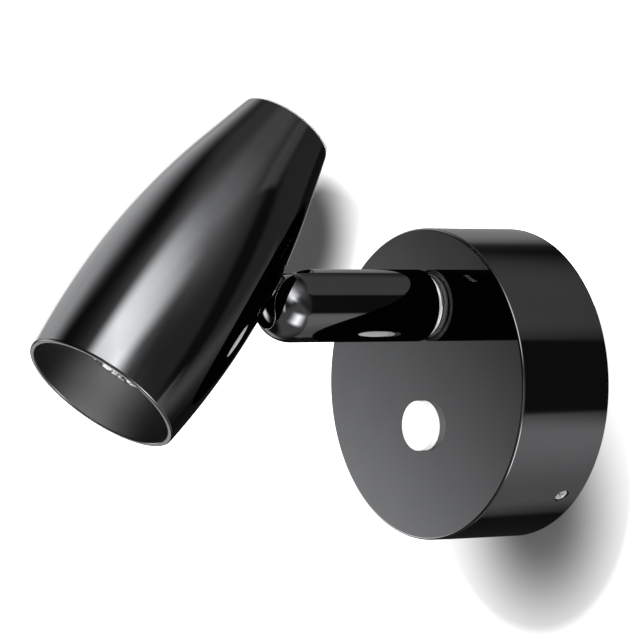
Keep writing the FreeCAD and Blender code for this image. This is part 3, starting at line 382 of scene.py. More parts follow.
def turned_piece_tree():
    """Turns a profile (radius in X, station in Z) about the Z axis into a closed skin."""
    tree, given, result = new_group("turned_piece", "GeometryNodeTree", {
        "Profile": "Geometry", "Steps round": 192, "Finish": "Material"}, {"Piece": "Geometry"})
    count = node(tree, "GeometryNodeAttributeDomainSize", {"Geometry": given["Profile"]})
    columns = maths(tree, "ADD", given["Steps round"], 1.0)
    grid = node(tree, "GeometryNodeMeshGrid", {"Vertices X": count.outputs["Point Count"],
                                               "Vertices Y": columns})
    index = node(tree, "GeometryNodeInputIndex").outputs[0]
    station = maths(tree, "FLOOR", maths(tree, "DIVIDE", maths(tree, "ADD", index, 0.5), columns))
    step = maths(tree, "SUBTRACT", index, maths(tree, "MULTIPLY", station, columns))
    turn = maths(tree, "MULTIPLY", maths(tree, "DIVIDE", step, given["Steps round"]), 2 * math.pi)
    spot = node(tree, "GeometryNodeSampleIndex", {
        "Geometry": given["Profile"], "Value": node(tree, "GeometryNodeInputPosition").outputs[0],
        "Index": station}, data_type="FLOAT_VECTOR", domain="POINT")
    split = node(tree, "ShaderNodeSeparateXYZ", {0: spot.outputs["Value"]}).outputs
    place = node(tree, "ShaderNodeCombineXYZ", {
        "X": maths(tree, "MULTIPLY", split["X"], maths(tree, "COSINE", turn)),
        "Y": maths(tree, "MULTIPLY", split["X"], maths(tree, "SINE", turn)), "Z": split["Z"]})
    bent = node(tree, "GeometryNodeSetPosition", {"Geometry": grid.outputs["Mesh"],
                                                  "Position": place.outputs[0]})
    closed = node(tree, "GeometryNodeMergeByDistance", {"Geometry": bent.outputs[0], "Distance": 0.001 * MM})
    return end_tree(tree, closed.outputs[0], given, result)


def thread_tree():
    """A screw thread: a ridge that winds round the Z axis."""
    tree, given, result = new_group("thread_ridge", "GeometryNodeTree", {
        "Radius": 0.0062, "Turns": 4.0, "Height": 0.0012, "Ridge": 0.00014, "Finish": "Material"},
        {"Thread": "Geometry"})
    winding = node(tree, "GeometryNodeCurveSpiral", {
        "Resolution": 160, "Rotations": given["Turns"], "Start Radius": given["Radius"],
        "End Radius": given["Radius"], "Height": given["Height"]})
    section = node(tree, "GeometryNodeCurvePrimitiveCircle", {"Resolution": 6, "Radius": given["Ridge"]})
    ridge = node(tree, "GeometryNodeCurveToMesh", {"Curve": winding.outputs[0],
                                                   "Profile Curve": section.outputs[0], "Fill Caps": True})
    return end_tree(tree, ridge.outputs[0], given, result)


def pebble_tree():
    """The pebbled front of the lens: a disc of small domes packed side by side."""
    tree, given, result = new_group("pebbled_front", "GeometryNodeTree", {
        "Radius": 0.013, "Pitch": 0.0012, "Rise": 0.00032, "Finish": "Material"}, {"Skin": "Geometry"})
    side = maths(tree, "MULTIPLY", given["Radius"], 2.0)
    grid = node(tree, "GeometryNodeMeshGrid", {"Size X": side, "Size Y": side, "Vertices X": 141,
                                               "Vertices Y": 141})
    position = node(tree, "GeometryNodeInputPosition").outputs[0]
    outside = maths(tree, "GREATER_THAN", vector_maths(tree, "LENGTH", position), given["Radius"])
    disc = node(tree, "GeometryNodeDeleteGeometry", {"Geometry": grid.outputs["Mesh"], "Selection": outside})
    cells = node(tree, "ShaderNodeTexVoronoi", {
        "Vector": position, "Scale": maths(tree, "DIVIDE", 1.0, given["Pitch"]), "Randomness": 0.55})
    dome = maths(tree, "SUBTRACT", 1.0, maths(tree, "POWER", cells.outputs["Distance"], 2.0))
    lift = node(tree, "ShaderNodeCombineXYZ", {"Z": maths(tree, "MULTIPLY", dome, given["Rise"])})
    raised = node(tree, "GeometryNodeSetPosition", {"Geometry": disc.outputs[0], "Offset": lift.outputs[0]})
    return end_tree(tree, raised.outputs[0], given, result)


TURNED_PIECE, THREAD_RIDGE, PEBBLED_FRONT = turned_piece_tree(), thread_tree(), pebble_tree()


def in_scene(name, data):
    """An object of its own for a mesh, a lamp or a camera."""
    thing = bpy.data.objects.new(name, data)
    bpy.context.scene.collection.objects.link(thing)
    return thing


def as_mesh(name, skin, *finishes):
    """A mesh with its finishes, from faces that are then let go."""
    mesh = bpy.data.meshes.new(name)
    skin.to_mesh(mesh)
    skin.free()
    for finish in finishes:
        mesh.materials.append(finish)
    return mesh


def as_made(thing):
    """The plain mesh that an object's modifiers make."""
    bpy.context.view_layer.update()
    return bpy.data.meshes.new_from_object(thing.evaluated_get(bpy.context.evaluated_depsgraph_get()))


def grow(name, seed, tree, settings):
    """Runs a tree on a seed mesh and gives the plain mesh that it makes."""
    holder = in_scene(name, seed)
    modifier = holder.modifiers.new("tree", "NODES")
    modifier.node_group = tree
    for item in tree.interface.items_tree:
        if item.in_out == "INPUT" and item.name in settings:
            modifier[item.identifier] = settings[item.name]
    mesh = as_made(holder)
    bpy.data.objects.remove(holder)
    mesh.name = name
    mesh.materials.clear()
    mesh.materials.append(settings["Finish"])
    return mesh


def tidy_skin(mesh):
    """Close the seams and turn every face outwards."""
    skin = bmesh.new()
    skin.from_mesh(mesh)
    bmesh.ops.remove_doubles(skin, verts=skin.verts, dist=1e-7)
    bmesh.ops.dissolve_degenerate(skin, edges=skin.edges, dist=1e-8)
    bmesh.ops.recalc_face_normals(skin, faces=skin.faces)
    skin.to_mesh(mesh)
    skin.free()
    return mesh


def evenly(start, stop, steps):
    """Values from start to stop, both of them included."""
    return [start + (stop - start) * n / steps for n in range(steps + 1)]


def rounded(*corners, closed=False):
    """A profile in millimetres with its corners rounded. A corner is (radius, station) or has a third
    number, its rounding. Each rounding has a short run either side that keeps the flats true."""
    line = []
    count = len(corners)
    for number, corner in enumerate(corners):
        here = Vector(corner[:2])
        size = corner[2] if len(corner) > 2 else 0.0
        if not size or (not closed and number in (0, count - 1)):
            line.append(here)
            continue
        into = Vector(corners[number - 1][:2]) - here
        out = Vector(corners[(number + 1) % count][:2]) - here
        half = into.angle(out) / 2
        run = min(size / math.tan(half), 0.4 * into.length, 0.4 * out.length)
        size = run * math.tan(half)
        middle = here + (into.normalized() + out.normalized()).normalized() * (size / math.sin(half))
        start, stop = here + into.normalized() * run, here + out.normalized() * run
        line.append(start + into.normalized() * min(0.05, run))
        sweep = (start - middle).angle_signed(stop - middle)
        for step in range(7):
            line.append(middle + Matrix.Rotation(-sweep * step / 6, 2) @ (start - middle))
        line.append(stop + out.normalized() * min(0.05, run))
    if closed:
        line.append(line[0].copy())
    return line


def turn_up(name, profile, stand, finish, steps=192):
    """A turned piece from its profile, in its place."""
    seed = bpy.data.meshes.new(name + "_profile")
    seed.from_pydata([(spot.x * MM, 0, spot.y * MM) for spot in profile],
                     [(n, n + 1) for n in range(len(profile) - 1)], [])
    mesh = tidy_skin(grow(name, seed, TURNED_PIECE, {"Steps round": steps, "Finish": finish}))
    mesh.transform(stand)
    return mesh


def show(name, mesh, body, slot, *nodes):
    """Put a finished piece in the scene, on its body and in place of its CAD nodes."""
    piece = in_scene(name, mesh)
    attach(piece, body)
    if nodes:
        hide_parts(*nodes)


def coat(mesh, finish, chosen):
    """A second finish for the faces whose middle, in millimetres, is chosen."""
    mesh.materials.append(finish)
    for face in mesh.polygons:
        if chosen(*(face.center / MM)):
            face.material_index = 1


def joined(name, *meshes):
    """Several meshes as one, with their finishes."""
    finishes = []
    skin = bmesh.new()
    for mesh in meshes:
        before = len(skin.faces)
        skin.from_mesh(mesh)
        skin.faces.ensure_lookup_table()
        for finish in mesh.materials:
            if finish not in finishes:
                finishes.append(finish)
        moved = [finishes.index(finish) for finish in mesh.materials]
        for face in skin.faces[before:]:
            face.material_index = moved[face.material_index]
    return as_mesh(name, skin, *finishes)


def rod(start, direction, radius, length, steps=64):
    """A cutter: a round bar in millimetres, in the row frame."""
    bar = bmesh.new()
    bmesh.ops.create_cone(bar, cap_ends=True, segments=steps, radius1=radius * MM, radius2=radius * MM,
                          depth=length * MM)
    mesh = as_mesh("cutter", bar)
    lean = Vector((0, 0, 1)).rotation_difference(Vector(direction)).to_matrix().to_4x4()
    middle = Vector(start) * MM + Vector(direction).normalized() * (length * MM / 2)
    mesh.transform(Matrix.Translation(middle) @ lean)
    return mesh


def cut(mesh, *cutters):
    """Cut holes, and keep the shading of the uncut surface right up to their edges."""
    smooth = mesh.copy()
    piece = in_scene("being_cut", mesh)
    tools = [in_scene("cutter", cutter) for cutter in cutters]
    for tool in tools:
        modifier = piece.modifiers.new("cut", "BOOLEAN")
        modifier.operation = "DIFFERENCE"
        modifier.solver = "EXACT"
        modifier.object = tool
    result = as_made(piece)
    for thing in [piece] + tools:
        bpy.data.objects.remove(thing)
    result.materials.clear()
    for finish in smooth.materials:
        result.materials.append(finish)
    keep_shading(result, smooth)
    return result


def keep_shading(mesh, smooth):
    """Give the faces that lie on the uncut surface its own smooth normals."""
    surface = BVHTree.FromPolygons([v.co for v in smooth.vertices],
                                   [tuple(face.vertices) for face in smooth.polygons])
    bends = [v.normal.copy() for v in smooth.vertices]
    touching, least, alike = 0.002 * MM, 0.1, 0.9
    known = {}
    normals = [None] * len(mesh.loops)
    for face in mesh.polygons:
        face.use_smooth = True
        for loop in face.loop_indices:
            vertex = mesh.loops[loop].vertex_index
            if vertex not in known:
                spot, _, number, gap = surface.find_nearest(mesh.vertices[vertex].co)
                ring = smooth.polygons[number].vertices
                weights = poly_3d_calc([smooth.vertices[v].co for v in ring], spot)
                known[vertex] = (sum((bends[v] * w for v, w in zip(ring, weights)), Vector()), gap)
            normal, gap = known[vertex]
            fits = (gap < touching and normal.length > least
                    and normal.normalized().dot(face.normal) > alike)
            normals[loop] = normal.normalized() if fits else face.normal.copy()
    mesh.normals_split_custom_set(normals)


# -------------------- head

def barrel_radius(station):
    """Outside of the head at a distance from its mouth."""
    if station <= BELLY_STATION:
        swell = BELLY_RADIUS - MOUTH_RADIUS
        arc = (swell ** 2 + BELLY_STATION ** 2) / 2 / swell
    else:
        waist, tail = WAIST_STATION - BELLY_STATION, HEAD_LENGTH - WAIST_STATION
        arc = waist * (waist / 2 + tail) / (BELLY_RADIUS - TAIL_RADIUS)
    return BELLY_RADIUS - arc + math.sqrt(arc ** 2 - (station - BELLY_STATION) ** 2)


def head_shell():
    """The barrel of the head, with its lip, its stepped bore and the flat that the neck stands on."""
    side = [(barrel_radius(station), station) for station in evenly(0.8, WAIST_STATION, 60)]
    profile = rounded((MOUTH_BORE, 0, 0.25), (MOUTH_RADIUS, 0, 0.4), *side,
                      (TAIL_RADIUS, HEAD_LENGTH - SHELL_LIP, 0.3),
                      (TAIL_RADIUS - SHELL_LIP, HEAD_LENGTH, 0.15), (TAIL_BORE, HEAD_LENGTH),
                      (TAIL_BORE, TAIL_SHOULDER), (SINK_BORE, TAIL_SHOULDER - 2),
                      (SINK_BORE, SINK_SHOULDER), (MOUTH_BORE, SINK_SHOULDER), closed=True)
    mesh = turn_up("head_shell_skin", profile, AS_TURNED, BLACK_CHROME, steps=256)
    seat, flat = HEAD_OFFSET - NECK_SEAT, 3.85
    mesh = cut(mesh, rod((0, seat, NECK_STATION), (0, 1, 0), flat, 4, steps=96),
               rod((0, seat - 5, NECK_STATION), (0, 1, 0), NECK_RADIUS - 0.1, 6))
    coat(mesh, SATIN_BORE_WITH_PAINTED_SHEEN,
         lambda x, y, z: math.hypot(x, y) < MOUTH_BORE + 0.02 and 0.2 < z < SINK_SHOULDER + 0.1)
    mesh.transform(ON_HEAD)
    show("head_shell_skin", mesh, "head", "black_chrome", "head_shell")


def lens_bezel():
    """The ring that holds the lens. Its finish has painted glints that stand for the glittering rim of the
    lens.
    """
    outside = MOUTH_BORE - FIT
    profile = rounded((outside, BEZEL_DEPTH), (outside, LENS_FRONT), (BEZEL_OPENING, LENS_FRONT, 0.15),
                      (BEZEL_OPENING + 0.48, BEZEL_DEPTH, 0.1), closed=True)
    show("lens_bezel_skin", turn_up("lens_bezel_skin", profile, ON_HEAD, PAINTED_GLINT_RING), "head",
         "black_plastic", "lens_bezel")


def lens():
    """The clear lens: a turned cone with a flange, and a pebbled front skin of its own thickness."""
    face, back, root, flange = LENS_FRONT + 0.55, LENS_FRONT + 1.4, 18.4, MOUTH_BORE - 0.3
    profile = rounded((0, face), (flange, face), (flange, back), (BEZEL_OPENING - 0.9, back),
                      (5.0, root), (3.4, root), (2.8, root - 3), (0, root - 3.6))
    cone = turn_up("lens_cone", profile, ON_HEAD, CLEAR_LENS, steps=96)
    front = grow("lens_front", bpy.data.meshes.new("lens_seed"), PEBBLED_FRONT, {
        "Radius": (MOUTH_BORE - 0.4) * MM, "Pitch": 1.15 * MM, "Rise": 0.3 * MM, "Finish": PEBBLED_LENS})
    skin = bmesh.new()
    skin.from_mesh(front)
    for corner in bmesh.ops.extrude_face_region(skin, geom=skin.faces[:])["geom"]:
        if isinstance(corner, bmesh.types.BMVert):
            corner.co.z = -0.15 * MM
    bmesh.ops.recalc_face_normals(skin, faces=skin.faces)
    skin.to_mesh(front)
    skin.free()
    front.transform(ON_HEAD @ Matrix.Translation((0, 0, (LENS_FRONT + 0.33) * MM))
                    @ Matrix.Rotation(math.pi, 4, "X"))
    show("lens_skin", joined("lens_skin", cone, front), "head", "clear_lens", "collimator_lens")


def rear_cap():
    """The milky cap in the back of the head, with painted shade on the chamfer round its end: a darker copy
    of its plastic.
    """
    foot, thick, chamfer = HEAD_LENGTH - 4.5, 1.2, 0.3
    outside = TAIL_BORE - FIT
    profile = rounded((outside - thick, foot), (outside, foot), (outside, HEAD_LENGTH),
                      (CAP_RADIUS, HEAD_LENGTH), (CAP_RADIUS, CAP_END - chamfer, 0.12),
                      (CAP_RADIUS - chamfer, CAP_END, 0.12), (0, CAP_END), (0, CAP_END - thick),
                      (outside - thick, CAP_END - thick), closed=True)
    mesh = turn_up("rear_cap_skin", profile, AS_TURNED, MILKY_CAP)
    coat(mesh, MILKY_EDGE_PAINTED_SHADE,
         lambda x, y, z: z > CAP_END - chamfer - 0.02 and math.hypot(x, y) > CAP_RADIUS - chamfer - 0.02)
    mesh.transform(ON_HEAD)
    show("rear_cap_skin", mesh, "head", "white_plastic", "rear_diffuser")


# -------------------- pivot and arm

def pivot():
    """The ball with its neck's shoulder, and the bare neck up to the head."""
    hole, cup, foot, end = NECK_SPIGOT + 0.06, 3.4, -1.2, 12.9
    ball = [Vector((BALL_RADIUS * math.sin(a), BALL_RADIUS * math.cos(a)))
            for a in evenly(math.asin(hole / BALL_RADIUS), math.pi - math.asin(cup / BALL_RADIUS), 60)]
    ball += [Vector((hole, -1.5)), ball[0].copy()]
    show("pivot_ball_skin", turn_up("pivot_ball_skin", ball, ON_NECK, BLACK_CHROME, steps=128), "pivot",
         "black_chrome", "pivot_ball")
    shoulder = math.sqrt(BALL_RADIUS ** 2 - hole ** 2) + FIT
    neck = rounded((1.5, foot), (1.5, end), (NECK_RADIUS - 0.2, end), (NECK_RADIUS - 0.2, NECK_SEAT),
                   (NECK_RADIUS, NECK_SEAT), (NECK_RADIUS, shoulder, 0.1), (NECK_SPIGOT, shoulder),
                   (NECK_SPIGOT, foot), closed=True)
    show("neck_skin", turn_up("neck_skin", neck, ON_NECK, BLACK_CHROME, steps=96), "head", "black_chrome",
         "neck_stud")


def slot_cutter():
    """The fan that the neck sweeps through the end of the arm. A round bar at each end completes it."""
    fan = bmesh.new()
    reach, half = (ARM_RADIUS + 3) * MM, SLOT_RADIUS * MM
    rim = [(0.0, 0.0)] + [(reach * math.cos(math.radians(lean)), reach * math.sin(math.radians(lean)))
                          for lean in evenly(-SLOT_LOW, SLOT_HIGH, 24)]
    left = [fan.verts.new((-half, -room, up)) for room, up in rim]
    right = [fan.verts.new((half, -room, up)) for room, up in rim]
    fan.faces.new(left)
    fan.faces.new(right[::-1])
    for number in range(len(rim)):
        after = (number + 1) % len(rim)
        fan.faces.new((left[number], right[number], right[after], left[after]))
    bmesh.ops.recalc_face_normals(fan, faces=fan.faces)
    mesh = as_mesh("slot", fan)
    mesh.transform(Matrix.Translation((0, -PIVOT_DEPTH * MM, ARM_HEIGHT * MM)))
    return mesh


def slot_edge():
    """The line where the slot meets the outside of the arm, all the way round, in the row frame."""
    half, flat = SLOT_RADIUS, math.sqrt(ARM_RADIUS ** 2 - SLOT_RADIUS ** 2)
    low, high = math.radians(-SLOT_LOW), math.radians(SLOT_HIGH)
    path = []
    for turn in evenly(0, math.pi, 24):
        drop = half * math.sin(turn)
        path.append((half * math.cos(turn), flat * math.cos(low) + drop * math.sin(low),
                     flat * math.sin(low) - drop * math.cos(low)))
    for lean in evenly(low, math.pi / 2, 48)[1:]:
        path.append((-half, flat * math.cos(lean), flat * math.sin(lean)))
    for turn in evenly(math.pi, 0, 24):
        side, back = half * math.cos(turn), half * math.sin(turn)
        along = (math.sqrt(ARM_RADIUS ** 2 - side ** 2) - back * math.cos(high)) / math.sin(high)
        path.append((side, along * math.cos(high) - back * math.sin(high),
                     along * math.sin(high) + back * math.cos(high)))
    for lean in evenly(math.pi / 2, low, 48)[:-1]:
        path.append((half, flat * math.cos(lean), flat * math.sin(lean)))
    return [Vector((side, -PIVOT_DEPTH - room, ARM_HEIGHT + up)) for side, room, up in path]


def beading(name, path, radius, finish, sides=8):
    """A thin round bead along a closed path in millimetres, which goes round the pivot."""
    bead = bmesh.new()
    pivot_middle = Vector((0, -PIVOT_DEPTH, ARM_HEIGHT))
    rings = []
    for number, spot in enumerate(path):
        ahead = (path[(number + 1) % len(path)] - path[number - 1]).normalized()
        side = ahead.cross((spot - pivot_middle).normalized()).normalized()
        out = side.cross(ahead)
        rings.append([bead.verts.new((spot + (side * math.cos(turn) + out * math.sin(turn)) * radius) * MM)
                      for turn in evenly(0, 2 * math.pi, sides)[:-1]])
    for number, ring in enumerate(rings):
        following = rings[(number + 1) % len(rings)]
        for n in range(sides):
            after = (n + 1) % sides
            bead.faces.new((ring[n], ring[after], following[after], following[n])).smooth = True
    bmesh.ops.recalc_face_normals(bead, faces=bead.faces)
    return as_mesh(name, bead, finish)


def arm():
    """The arm: a bored bar with a round end and the slot through it, its back edge left bright."""
    outside = [(ARM_RADIUS * math.sin(a), PIVOT_DEPTH + ARM_RADIUS * math.cos(a))
               for a in evenly(0, math.pi / 2, 48)]
    inside = [(ARM_BORE * math.sin(a), PIVOT_DEPTH + ARM_BORE * math.cos(a))
              for a in evenly(math.pi / 2, 0, 32)]
    profile = rounded(*outside, (ARM_RADIUS, PIVOT_DEPTH - 1), (ARM_RADIUS, ARM_START + 0.2, 0.1),
                      (ARM_RADIUS - 0.2, ARM_START, 0.05), (ARM_BORE, ARM_START), *inside)
    mesh = turn_up("arm_skin", profile, ON_ARM, BLACK_CHROME)
    ends = [rod((0, -PIVOT_DEPTH, ARM_HEIGHT), heading(0, lean), SLOT_RADIUS, ARM_RADIUS + 2, steps=96)
            for lean in (SLOT_HIGH, -SLOT_LOW)]
    mesh = cut(mesh, slot_cutter(), *ends)
    coat(mesh, BRIGHT_NICKEL, lambda x, y, z: y > -(ARM_START + 0.19))
    show("arm_skin", mesh, "arm", "black_chrome", "arm_tube")
    edge = beading("slot_edge", slot_edge(), 0.06, EDGE_STEEL)
    show("slot_edge", edge, "arm", "black_chrome", "arm_tube")


def swivel_shaft():
    """The hollow shaft with the bright thread that shows between the arm and the base."""
    root, in_arm, stop = COLLAR_RADIUS - 0.22, ARM_BORE - FIT, ARM_START + SHAFT_GRIP
    profile = rounded((SHAFT_BORE, SHAFT_BACK), (SHAFT_RADIUS, SHAFT_BACK), (SHAFT_RADIUS, BASE_DEPTH + FIT),
                      (root, BASE_DEPTH + FIT, 0.1), (root, ARM_START), (in_arm, ARM_START), (in_arm, stop),
                      (SHAFT_BORE, stop), closed=True)
    core = turn_up("shaft_core", profile, ON_ARM, BRIGHT_NICKEL)
    ridge = grow("shaft_thread", bpy.data.meshes.new("thread_seed"), THREAD_RIDGE, {
        "Radius": (root + 0.04) * MM, "Turns": 4.0, "Height": 1.0 * MM, "Ridge": 0.17 * MM,
        "Finish": BRIGHT_NICKEL})
    ridge.transform(ON_ARM @ Matrix.Translation((0, 0, (BASE_DEPTH + 0.22) * MM)))
    tidy_skin(ridge)
    show("swivel_shaft_skin", joined("swivel_shaft_skin", core, ridge), "arm", "bright_nickel",
         "swivel_shaft")


# -------------------- base and button

def set_screw_ways():
    """The directions of the two set screws from the axis of the base."""
    lean = math.radians(SET_SCREW_ANGLE)
    return [Vector((side * math.cos(lean), 0, -math.sin(lean))) for side in (1, -1)]


def base_cover():
    """The turned cup of the base, with the holes for the arm, the button and the two set screws."""
    profile = rounded((COVER_BORE, 0), (BASE_RADIUS, 0, 0.15), (BASE_RADIUS, BASE_DEPTH, EDGE_ROUND),
                      (0, BASE_DEPTH), (0, FACE_INSIDE), (COVER_BORE, FACE_INSIDE), closed=True)
    mesh = turn_up("base_cover_skin", profile, ON_BASE, BLACK_CHROME, steps=256)
    inside, through = 1 - FACE_INSIDE, 5
    holes = [rod((0, inside, ARM_HEIGHT), (0, -1, 0), SHAFT_RADIUS + 0.06, through),
             rod((0, inside, -BUTTON_DROP), (0, -1, 0), BUTTON_RADIUS + 0.12, through, steps=96)]
    for way in set_screw_ways():
        start = way * (COVER_BORE - 1) + Vector((0, -SET_SCREW_HEIGHT, 0))
        holes.append(rod(start, way, SET_SCREW_RADIUS, through, steps=48))
    show("base_cover_skin", cut(mesh, *holes), "base", "black_chrome", "base_cover")


def set_screws():
    """The two set screws, each with a hexagon socket and a cup-shaped, worn face."""
    head, foot, side = BASE_RADIUS - SET_SCREW_INSET, COVER_BORE - 0.2, SET_SCREW_RADIUS - FIT
    screws = []
    for way in set_screw_ways():
        profile = rounded((0, foot), (side, foot), (side, head - 0.25), (side - 0.25, head, 0.08),
                          (0.85, head, 0.08), (0.78, head - 0.08), (0.0, head - 0.08))
        screw = turn_up("set_screw", profile, AS_TURNED, SCREW_STEEL, steps=48)
        screw = cut(screw, rod((0, 0, head - 1.2), (0, 0, 1), 0.866, 2, steps=6))
        screw.transform(Matrix.Translation((0, -SET_SCREW_HEIGHT * MM, 0))
                        @ Vector((0, 0, 1)).rotation_difference(way).to_matrix().to_4x4())
        screws.append(screw)
    show("set_screws_skin", joined("set_screws_skin", *screws), "base", "plated_steel",
         "cover_set_screws")


def button():
    """The white button, with a rounded lip round its shallow dish."""
    top, flange, stem, stem_end = BASE_DEPTH + BUTTON_PROUD, FACE_INSIDE - 0.03, 1.6, 16.9
    dish = [(radius, top - BUTTON_DISH * (1 - (radius / 4.0) ** 4))
            for radius in [BUTTON_RADIUS - 1.3 - n * 0.35 for n in range(9, 0, -1)]]
    profile = rounded((0, top - BUTTON_DISH), *dish, (BUTTON_RADIUS - 1.1, top - 0.1, 0.2),
                      (BUTTON_RADIUS - 0.75, top, 0.2), (BUTTON_RADIUS, top, 0.5), (BUTTON_RADIUS, flange),
                      (BUTTON_FLANGE, flange), (BUTTON_FLANGE, flange - 1), (stem, flange - 1),
                      (stem, stem_end), (0, stem_end))
    stand = Matrix.Translation((0, 0, -BUTTON_DROP * MM)) @ ON_BASE
    show("button_skin", turn_up("button_skin", profile, stand, WHITE_CAP), "button",
         "white_plastic", "button_cap")


for make in (head_shell, lens_bezel, lens, rear_cap, pivot, arm, swivel_shaft, base_cover, set_screws,
             button):
    make()

# The pieces that keep their own shape get the finish of their slot.
for piece in frame["nodes"].values():
    for given in piece.material_slots:
        kept = given.material.name.split(".")[0] if given.material else ""
        for slot, finish in FINISHES.items():
            if kept == slot or kept.endswith(slot):
                given.material = finish


# -------------------- studio

# The lit windows that the polished metal shows: azimuth, elevation, roll, half width, half height and the
# softness of the sides and of the ends (all in degrees), and brightness.
WINDOWS = [
    (53, 37, 43, 20.5, 9.6, 7.9, 17.4, 3.20),
    (69, 49, 81, 17.1, 24.1, 21.9, 23.5, 0.66),
    (80, -43, 14, 11.1, 17.2, 16.1, 6.8, 4.61),
    (-61, -15, -18, 10.6, 9.5, 7.3, 10.9, 3.00),
    (-80, 33, -5, 22.6, 18.4, 10.0, 14.3, 0.97),
    (-105, 8, -36, 7.4, 16.5, 8.7, 7.3, 1.82),
    (21, 89, 55, 59.3, 14.4, 11.3, 6.9, 0.10),
    (70, -49, -35, 46.6, 46.5, 5.4, 10.9, 0.19),
    (-91, -30, -8, 9.0, 12.0, 10.0, 6.0, 0.30),
    (34, -6, 0, 3.0, 10.0, 3.0, 6.0, 1.50),
    (65, 21, 32, 11.7, 3.6, 6.7, 5.7, 1.47),
    (161, 52, -28, 32.9, 7.7, 1.0, 4.7, 0.14),
    (155, -49, 36, 36.2, 9.9, 1.0, 3.8, 0.23),
    (-129, 16, 1, 10.8, 23.0, 4.8, 2.6, 0.30),
    (-148, -48, 0, 7.9, 3.1, 2.9, 1.7, 0.03),
    (-97, -36, 0, 9, 9, 6, 6, 0.5),
    (108, 8, 0, 15, 25, 4, 8, 0.05),
    (160, 5, 0, 20, 30, 4, 8, 0.05),
]
TENT_CLOTH, TENT_RADIUS = 0.008, 2.5


def window_group():
    """One lit window in the tent: soft at its edges, and dark everywhere else."""
    group, given, result = new_group("soft_window", "ShaderNodeTree", {
        "Direction": (0, 0, 1), "Front": (0, 0, 1), "Across": (1, 0, 0), "Up": (0, 1, 0), "Half width": 0.2,
        "Half height": 0.2, "Soft width": 0.1, "Soft height": 0.1, "Brightness": 1.0}, {"Light": "Float"})
    masks = []
    for way, half, soft in (("Across", "Half width", "Soft width"), ("Up", "Half height", "Soft height")):
        off = maths(group, "ABSOLUTE", vector_maths(group, "DOT_PRODUCT", given["Direction"], given[way]))
        inner = maths(group, "SUBTRACT", given[half], given[soft])
        outer = maths(group, "ADD", given[half], given[soft])
        masks.append(remap(group, off, inner, outer, 1.0, 0.0, interpolation_type="SMOOTHSTEP"))
    ahead = maths(group, "GREATER_THAN",
                  vector_maths(group, "DOT_PRODUCT", given["Direction"], given["Front"]), 0.0)
    feed(result, {"Light": maths(group, "MULTIPLY", maths(group, "MULTIPLY", *masks),
                                 maths(group, "MULTIPLY", ahead, given["Brightness"]))})
    return group


def glowing(name):
    """A material that starts empty, and that glows without being sampled as a lamp."""
    finish = bpy.data.materials.new(name)
    finish.use_nodes = True
    finish.node_tree.nodes.clear()
    finish.cycles.emission_sampling = "NONE"
    return finish, finish.node_tree


def seen_rays(tree):
    """1 for rays from the camera, off a mirror or through a clear piece, and 0 for the rest."""
    path = node(tree, "ShaderNodeLightPath").outputs
    return maths(tree, "MAXIMUM", path["Is Camera Ray"],
                 maths(tree, "MAXIMUM", path["Is Glossy Ray"], path["Is Transmission Ray"]))


def studio_tent():
    """The dark tent with lit windows that only polished surfaces see."""
    cloth, tree = glowing("tent_cloth")
    way = vector_maths(tree, "NORMALIZE", own_place(tree))
    window = window_group()
    light = TENT_CLOTH
    for azimuth, elevation, roll, *spans, brightness in WINDOWS:
        front = heading(azimuth, elevation)
        level = front.cross(Vector((0, 0, 1))).normalized()
        across = Matrix.Rotation(math.radians(-roll), 3, front) @ level
        sizes = {label: math.sin(math.radians(span)) for label, span in
                 zip(("Half width", "Half height", "Soft width", "Soft height"), spans)}
        lit = node(tree, "ShaderNodeGroup", {
            "Direction": way, "Front": front, "Across": across, "Up": across.cross(front),
            "Brightness": brightness, **sizes}, node_tree=window)
        light = maths(tree, "ADD", light, lit.outputs[0])
    # A window seen by way of a second reflection is covered: the metal there stays dark.
    first = maths(tree, "LESS_THAN", node(tree, "ShaderNodeLightPath").outputs["Ray Depth"], 1.5)
    glow = node(tree, "ShaderNodeEmission", {
        "Strength": maths(tree, "ADD", maths(tree, "MULTIPLY", light, first), TENT_CLOTH)})
    node(tree, "ShaderNodeOutputMaterial", {"Surface": glow.outputs[0]})
    ball = bmesh.new()
    bmesh.ops.create_icosphere(ball, subdivisions=5, radius=TENT_RADIUS)
    tent = in_scene("studio_tent", as_mesh("studio_tent", ball, cloth))
    for sight in ("camera", "diffuse", "transmission", "shadow"):
        setattr(tent, "visible_" + sight, False)


# The wall is two sheets that meet level with the arm, so that each shadow has a lamp to itself. A shadow
# is (its middle, where the wall starts to whiten round it, where it is white, how white it is inside).
WALL_HALF, WALL_BACK = 0.9, 0.2 * MM
SEAM_START, SEAM_STOP = 0.5 * MM, 6.5 * MM
HEAD_SHADOW = (Vector((-0.0712, 0.0, 0.0297)), 0.0095, 0.027, 0.0)
BASE_SHADOW = (Vector((0.0094, 0.0, -0.0254)), 0.005, 0.034, 0.07)


